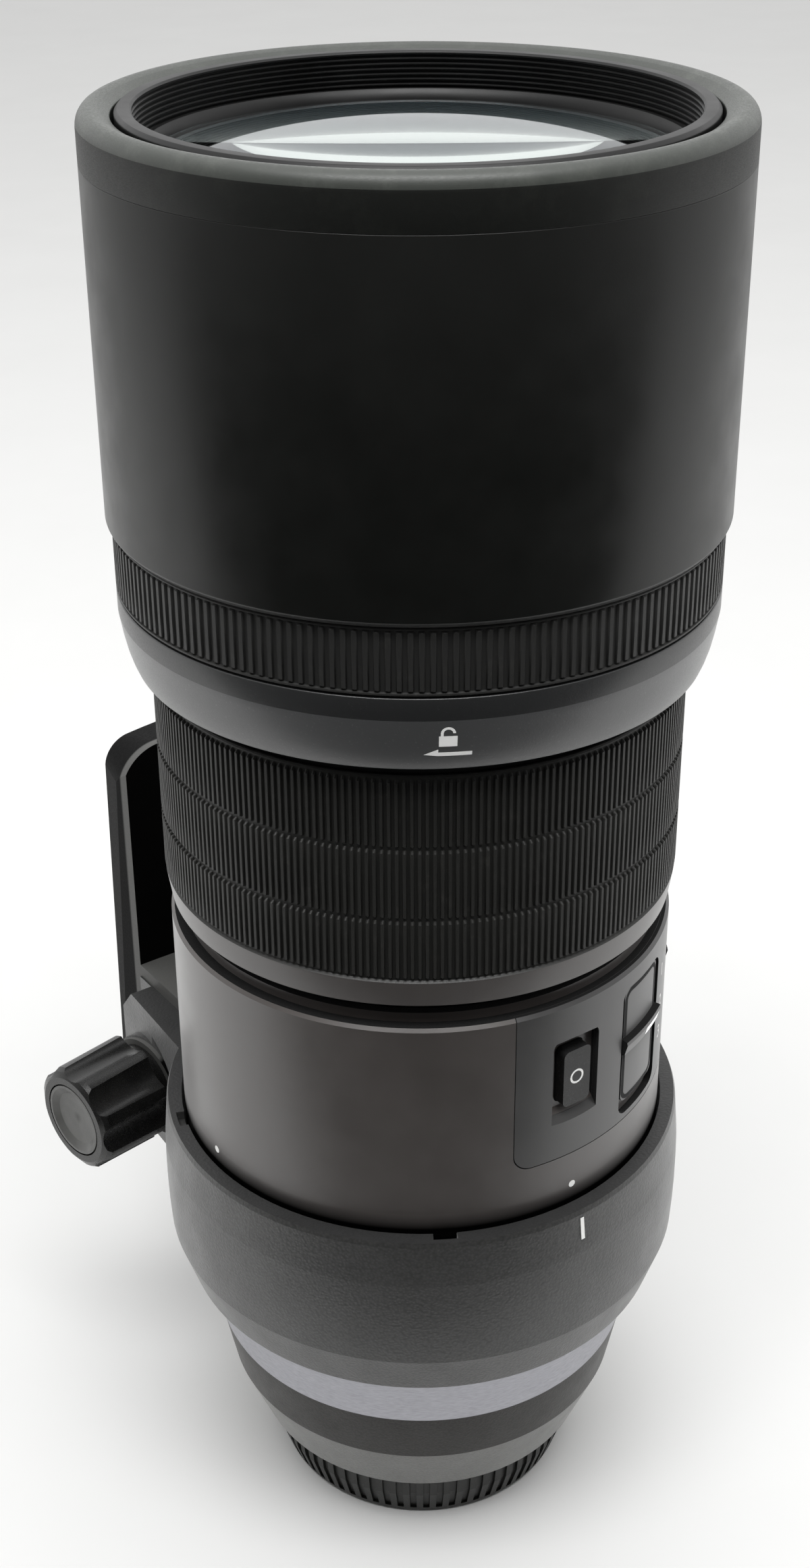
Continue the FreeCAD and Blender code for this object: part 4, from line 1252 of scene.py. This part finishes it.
def disc(radius: float, count: int = 24) -> Polygon:
    """A filled circle as a polygon."""
    turns = [2 * math.pi * k / count for k in range(count)]
    return [(radius * math.cos(turn), radius * math.sin(turn)) for turn in turns]


def bar(width: float, tall: float, x: float = 0.0, y: float = 0.0) -> Polygon:
    """A filled rectangle as a polygon."""
    w, h = width / 2, tall / 2
    return [(x - w, y - h), (x + w, y - h), (x + w, y + h), (x - w, y + h)]


def frame_pieces(width: float, tall: float, corner: float, thick: float,
                 steps: int = 6) -> list[Polygon]:
    """A rounded rectangular frame, cut into quadrilaterals.

    Args:
        width: The frame's outer width.
        tall: Its outer height.
        corner: The outer radius of its corners.
        thick: How wide its line is.
        steps: How many pieces make one corner.

    Returns:
        The quadrilaterals.
    """
    outer, inner = [], []
    for k, (sx, sy) in enumerate(((1, 1), (-1, 1), (-1, -1), (1, -1))):
        x, y = sx * (width / 2 - corner), sy * (tall / 2 - corner)
        for step in range(steps + 1):
            turn = math.pi / 2 * (k + step / steps)
            outer.append((x + corner * math.cos(turn), y + corner * math.sin(turn)))
            inner.append((x + (corner - thick) * math.cos(turn),
                          y + (corner - thick) * math.sin(turn)))
    count = len(outer)
    return [[outer[k], outer[(k + 1) % count], inner[(k + 1) % count], inner[k]]
            for k in range(count)]


def ring_pieces(outer: float, inner: float, y: float = 0.0, end: float = 360.0,
                count: int = 20) -> list[Polygon]:
    """A ring, or part of one, as quadrilaterals.

    Args:
        outer: The outer radius.
        inner: The inner radius.
        y: The height of its middle.
        end: Where the ring ends, in degrees from its right side.
        count: How many pieces make it.

    Returns:
        The quadrilaterals.
    """
    pieces = []
    for k in range(count):
        a, b = math.radians(end * k / count), math.radians(end * (k + 1) / count)
        pieces.append([(r * math.cos(t), y + r * math.sin(t))
                       for r, t in ((inner, a), (outer, a), (outer, b), (inner, b))])
    return pieces


@dataclass
class Marks:
    """Index lines, dots, the unlocking pictogram and the switch numbers."""

    printer: Printer = field(default_factory=Printer)
    housing: float = 40.5
    arrow: Polygon = ((-3.3, -0.12), (-1.3, 0.8), (-1.3, 0.26), (3.3, 0.26), (3.3, -0.38),
                      (-1.3, -0.38))
    unlock_azimuth: float = -30.6
    figure_size: float = 3.4
    figure_heights: tuple[float, ...] = (106.6, 100.6, 94.6)
    figure_rows: tuple[tuple[str, float], ...] = (("switch", 37.6), ("steady", 78.6))

    def build(self) -> None:
        """Print every mark on its own body."""
        ink = self.printer
        ink.polygons("index_line", [bar(0.7, 4.0)], Body.COLLAR, 0.0, 73.7, 43.98, -0.12)
        for name, azimuth, height in (("front", 0.5, 80.2), ("side", -90.0, 79.8)):
            ink.polygons(f"index_dot_{name}", [disc(0.62)], Body.BARREL, azimuth, height,
                         self.housing)
        ink.polygons("unlock_arrow", [self.arrow], Body.BARREL, self.unlock_azimuth, 162.9,
                     44.41, 0.29)
        lock = [bar(2.5, 1.7, 0.0, -0.5), bar(0.38, 0.6, -0.82, 0.55),
                *ring_pieces(1.02, 0.64, 0.8, 180.0, 10)]
        ink.polygons("unlock_padlock", lock, Body.BARREL, self.unlock_azimuth, 165.5, 44.96,
                     0.17)
        for number, height in enumerate(self.figure_heights, 1):
            for name, azimuth in self.figure_rows:
                ink.figure(f"{name}_figure_{number}", str(number), self.figure_size,
                           Body.BARREL, azimuth, height, self.housing)


@dataclass
class SwitchHousing:
    """Housing tube, let-in panel, function key and the two slide switches."""

    key_azimuth: float = 0.6
    key_height: float = 101.1
    key_face: float = 40.612
    limit_azimuth: float = 24.35
    steady_azimuth: float = 65.15
    line_turn: float = 3.9
    line_height: float = 100.75
    grip_radius: float = 41.176
    grip_slope: float = 0.263
    plate_height: float = 100.55
    plate_radius: float = 40.25

    def build(self) -> None:
        """Dress the CAD nodes, with black painted shade on their faces that look aside, and print
        on the keys.
        """
        # Painted shade: the faces of the housing and panels that look aside are black.
        refinish(dress("switch_housing", Finish.HOUSING, 0.2), Finish.FLOCK, looks_aside)
        dress("function_button", Finish.KEY, 0.35)
        for node in ("control_panel", "focus_limit_switch", "stabiliser_switch"):
            refinish(dress(node, Finish.PANEL, 0.12), Finish.FLOCK, looks_aside)
        self.key_icon()
        self.switch_trim("limit", Body.LIMIT_KEY, self.limit_azimuth)
        self.switch_trim("steady", Body.STEADY_KEY, self.steady_azimuth)

    def key_icon(self) -> None:
        """A plain ring printed flat on the function key."""
        turn = Matrix.Rotation(math.radians(self.key_azimuth), 3, "Z")
        mesh = polygon_mesh("key_ring_icon", ring_pieces(1.3, 0.95, self.key_height),
                            lambda x, z: turn @ Vector((x * MM, -self.key_face * MM, z * MM)))
        show(add_object("key_ring_icon", mesh), Body.FUNCTION_KEY, Finish.PRINT)

    def switch_trim(self, name: str, body: Body, azimuth: float) -> None:
        """The white line on a slide switch's grip, and a black frame round its plate that is
        painted shade of the gap round it.

        Args:
            name: What the marks' names begin with.
            body: The switch's body.
            azimuth: The switch's place round the axis.
        """
        Printer(0.03, Finish.SWITCH_PRINT).polygons(
            f"{name}_line", [bar(5.2, 1.4)], body, azimuth + self.line_turn, self.line_height,
            self.grip_radius, self.grip_slope)
        # Painted shade: a black frame where the gap round the plate lies in shade.
        Printer(0.015, Finish.FLOCK).polygons(
            f"{name}_edge", frame_pieces(11.2, 21.2, 2.0, 0.75), body, azimuth,
            self.plate_height, self.plate_radius)


@dataclass
class CollarAndFoot:
    """Tripod collar, foot, clamp knob and their small metal pieces."""

    land_height: float = 76.3
    pieces: tuple[tuple[str, Finish, float], ...] = (
        ("tripod_foot", Finish.FOOT, 0.45), ("clamp_knob", Finish.KNOB, 0.3),
        ("knob_cover", Finish.COVER, 0.1), ("knob_washer", Finish.FOOT, 0.0),
        ("clamp_screw", Finish.STEEL, 0.05), ("brake_pin", Finish.STEEL, 0.05),
        ("tripod_bushes", Finish.STEEL, 0.05), ("foot_screws", Finish.BLACKENED, 0.05),
        ("collar_liner", Finish.NYLON, 0.0))

    def build(self) -> None:
        """Dress the CAD nodes, the collar with painted shade on its top land."""
        refinish(dress("tripod_collar", Finish.COLLAR, 0.25), Finish.COLLAR_LAND,
                 self.on_top_land)
        for node, finish, bevel_mm in self.pieces:
            dress(node, finish, bevel_mm)

    def on_top_land(self, face: bpy.types.MeshPolygon) -> bool:
        """Say whether a face of the collar is on its flat top."""
        return face.center.z > self.land_height * MM and face.normal.z > 0.9


@dataclass
class Mechanism:
    """What works inside and behind the barrel."""

    pieces: tuple[tuple[Finish, tuple[str, ...]], ...] = (
        (Finish.CHROME, ("mount_plate",)),
        (Finish.BUMPER, ("mount_seal",)),
        (Finish.GOLD, ("contact_pins",)),
        (Finish.BOARD, ("main_board",)),
        (Finish.RIBBON, ("contact_ribbon",)),
        (Finish.COPPER, ("focus_coil",)),
        (Finish.GLASS, ("rear_element", "focus_lens", "stabiliser_lens")),
        (Finish.STEEL, ("mount_screws", "guide_rods", "focus_magnet", "iris_blades")),
        (Finish.CHIP, ("contact_block", "button_contact", "board_chips", "focus_carrier",
                       "stabiliser_yoke", "stabiliser_carrier")),
        (Finish.MACHINED, ("main_chassis", "rod_plate_rear", "rod_plate_front",
                           "stabiliser_base")),
        (Finish.INSIDE, ("rear_baffle", "rear_cell", "guide_barrel", "clutch_sleeve",
                         "sleeve_retainer", "distance_scale", "iris_housing")))

    def build(self) -> None:
        """Dress the CAD nodes."""
        for finish, nodes in self.pieces:
            for node in nodes:
                dress(node, finish)


# The studio


@dataclass(frozen=True)
class Lamp:
    """A soft rectangular lamp: its place seen from the camera, its size and its power."""

    name: str
    place: tuple[float, float, float]
    size: tuple[float, float]
    watts: float


@dataclass
class Studio:
    """Pale paper, soft lamps and the camera at the photo's angle, in metres."""

    facing: float = -35.5
    distance: float = 0.29607
    height: float = 0.29528
    pitch: float = 28.549
    yaw: float = -0.4535
    roll: float = -0.386
    focal_mm: float = 48.583
    sensor_mm: float = 36.0
    paper_half: float = 40.0
    aim_height: float = 0.12
    lamps: tuple[Lamp, ...] = (Lamp("ceiling", (0.0, 0.05, 1.3), (1.4, 1.0), 3.0),
                               Lamp("front_top", (0.0, -0.42, 1.2), (1.0, 0.4), 10.5))
    cloth_half: float = 1.6
    cloth_depth: tuple[float, float] = (-2.4, -0.10)
    cloth_height: float = 0.0008
    cover_height: float = 0.0012
    cover_edge: float = 0.02
    room_tone: str = "f8f8f8"

    def turned(self, x: float, y: float, z: float) -> Vector:
        """A studio point, given as seen from the camera, in the lens's frame."""
        return Matrix.Rotation(math.radians(self.facing), 3, "Z") @ Vector((x, y, z))

    def build(self) -> None:
        """Set up the camera, paper, lamps, cloth and room."""
        self.camera()
        self.paper()
        for lamp in self.lamps:
            self.light(lamp)
        self.flag()
        self.room()
        bpy.context.scene.view_settings.view_transform = "Standard"

    def camera(self) -> None:
        """Stand the camera where the photo was taken from."""
        lens = bpy.data.cameras.new("camera")
        lens.sensor_width = self.sensor_mm
        lens.lens = self.focal_mm
        lens.clip_start = 0.01
        lens.clip_end = 50.0
        view = add_object("camera", lens)
        p, w, r = (math.radians(a) for a in (self.pitch, self.yaw, self.roll))
        ahead = Vector((math.sin(w) * math.cos(p), math.cos(w) * math.cos(p), -math.sin(p)))
        right = Vector((math.cos(w), -math.sin(w), 0.0))
        up = right.cross(ahead)
        right, up = (math.cos(r) * right + math.sin(r) * up,
                     -math.sin(r) * right + math.cos(r) * up)
        spin = Matrix.Rotation(math.radians(self.facing), 3, "Z")
        axes = Matrix((spin @ right, spin @ up, spin @ -ahead)).transposed()
        view.matrix_world = Matrix.Translation(
            self.turned(0.0, -self.distance, self.height)) @ axes.to_4x4()
        bpy.context.scene.camera = view

    def paper(self) -> None:
        """A wide sheet of pale paper to stand on."""
        half = self.paper_half
        floor = make_mesh("paper", [(-half, -half, 0), (half, -half, 0), (half, half, 0),
                                    (-half, half, 0)], [(0, 1, 2, 3)])
        floor.data.materials.append(finish_of(Finish.PAPER))

    def light(self, lamp: Lamp) -> None:
        """Hang a lamp that the camera doesn't see and aim it at the lens.

        Args:
            lamp: The lamp.
        """
        glow = bpy.data.lights.new(lamp.name, "AREA")
        glow.shape = "RECTANGLE"
        glow.size, glow.size_y = lamp.size
        glow.energy = lamp.watts
        panel = add_object(lamp.name, glow)
        panel.location = self.turned(*lamp.place)
        aim = self.turned(0.0, 0.0, self.aim_height) - panel.location
        panel.rotation_euler = aim.to_track_quat("-Z", "Y").to_euler()
        panel.visible_camera = False

    def sheet(self, name: str, finish: Finish, edge: float, height: float) -> bpy.types.Object:
        """Lay a sheet over the floor in front of the lens.

        Args:
            name: The sheet's name.
            finish: What it is made of.
            edge: How far it reaches past the cloth's size on every side.
            height: How high it lies.

        Returns:
            The sheet.
        """
        half = self.cloth_half + edge
        near, far = self.cloth_depth[0] - edge, self.cloth_depth[1] + edge
        corners = [self.turned(x, y, height)
                   for x, y in ((-half, near), (half, near), (half, far), (-half, far))]
        sheet = make_mesh(name, corners, [(0, 1, 2, 3)])
        sheet.data.materials.append(finish_of(finish))
        return sheet

    def flag(self) -> None:
        """A black cloth that only the lens sees, under paper that only the camera sees."""
        cloth = self.sheet("front_cloth", Finish.FLOCK, 0.0, self.cloth_height)
        cloth.visible_camera = False
        cloth.visible_shadow = False
        cover = self.sheet("front_paper", Finish.PAPER, self.cover_edge, self.cover_height)
        cover.visible_diffuse = False
        cover.visible_glossy = False
        cover.visible_transmission = False
        cover.visible_shadow = False

    def room(self) -> None:
        """A pale room that is bright behind and beside the lens and dim in front."""
        world = bpy.data.worlds.new("room")
        bpy.context.scene.world = world
        world.use_nodes = True
        g = Nodes(world.node_tree)
        heading = g.add(Kind.MAPPING, Vector=g.add(Kind.SPOT, out="Generated"),
                        Rotation=(0.0, 0.0, -math.radians(self.facing)))
        strength = g.add(Kind.RANGE, {"interpolation_type": "SMOOTHSTEP"},
                         Value=g.add(Kind.PARTS, out="Y", Vector=heading),
                         From_Min=-0.75, From_Max=0.45, To_Min=0.10, To_Max=1.15)
        sky = g.tree.nodes["Background"]
        g.tree.links.new(strength, sky.inputs["Strength"])
        sky.inputs["Color"].default_value = paint(self.room_tone)


def main() -> None:
    """Build the lens from the rear cap to the hood, then the studio."""
    logging.basicConfig(level=logging.INFO, format="%(message)s")
    for part in (RearGroup(), CollarAndFoot(), SwitchHousing(), FocusRing(), FrontGroup(),
                 Hood(), Mechanism(), Marks(), Studio()):
        part.build()
        log.info("built %s", type(part).__name__)


if __name__ == "__main__":
    main()
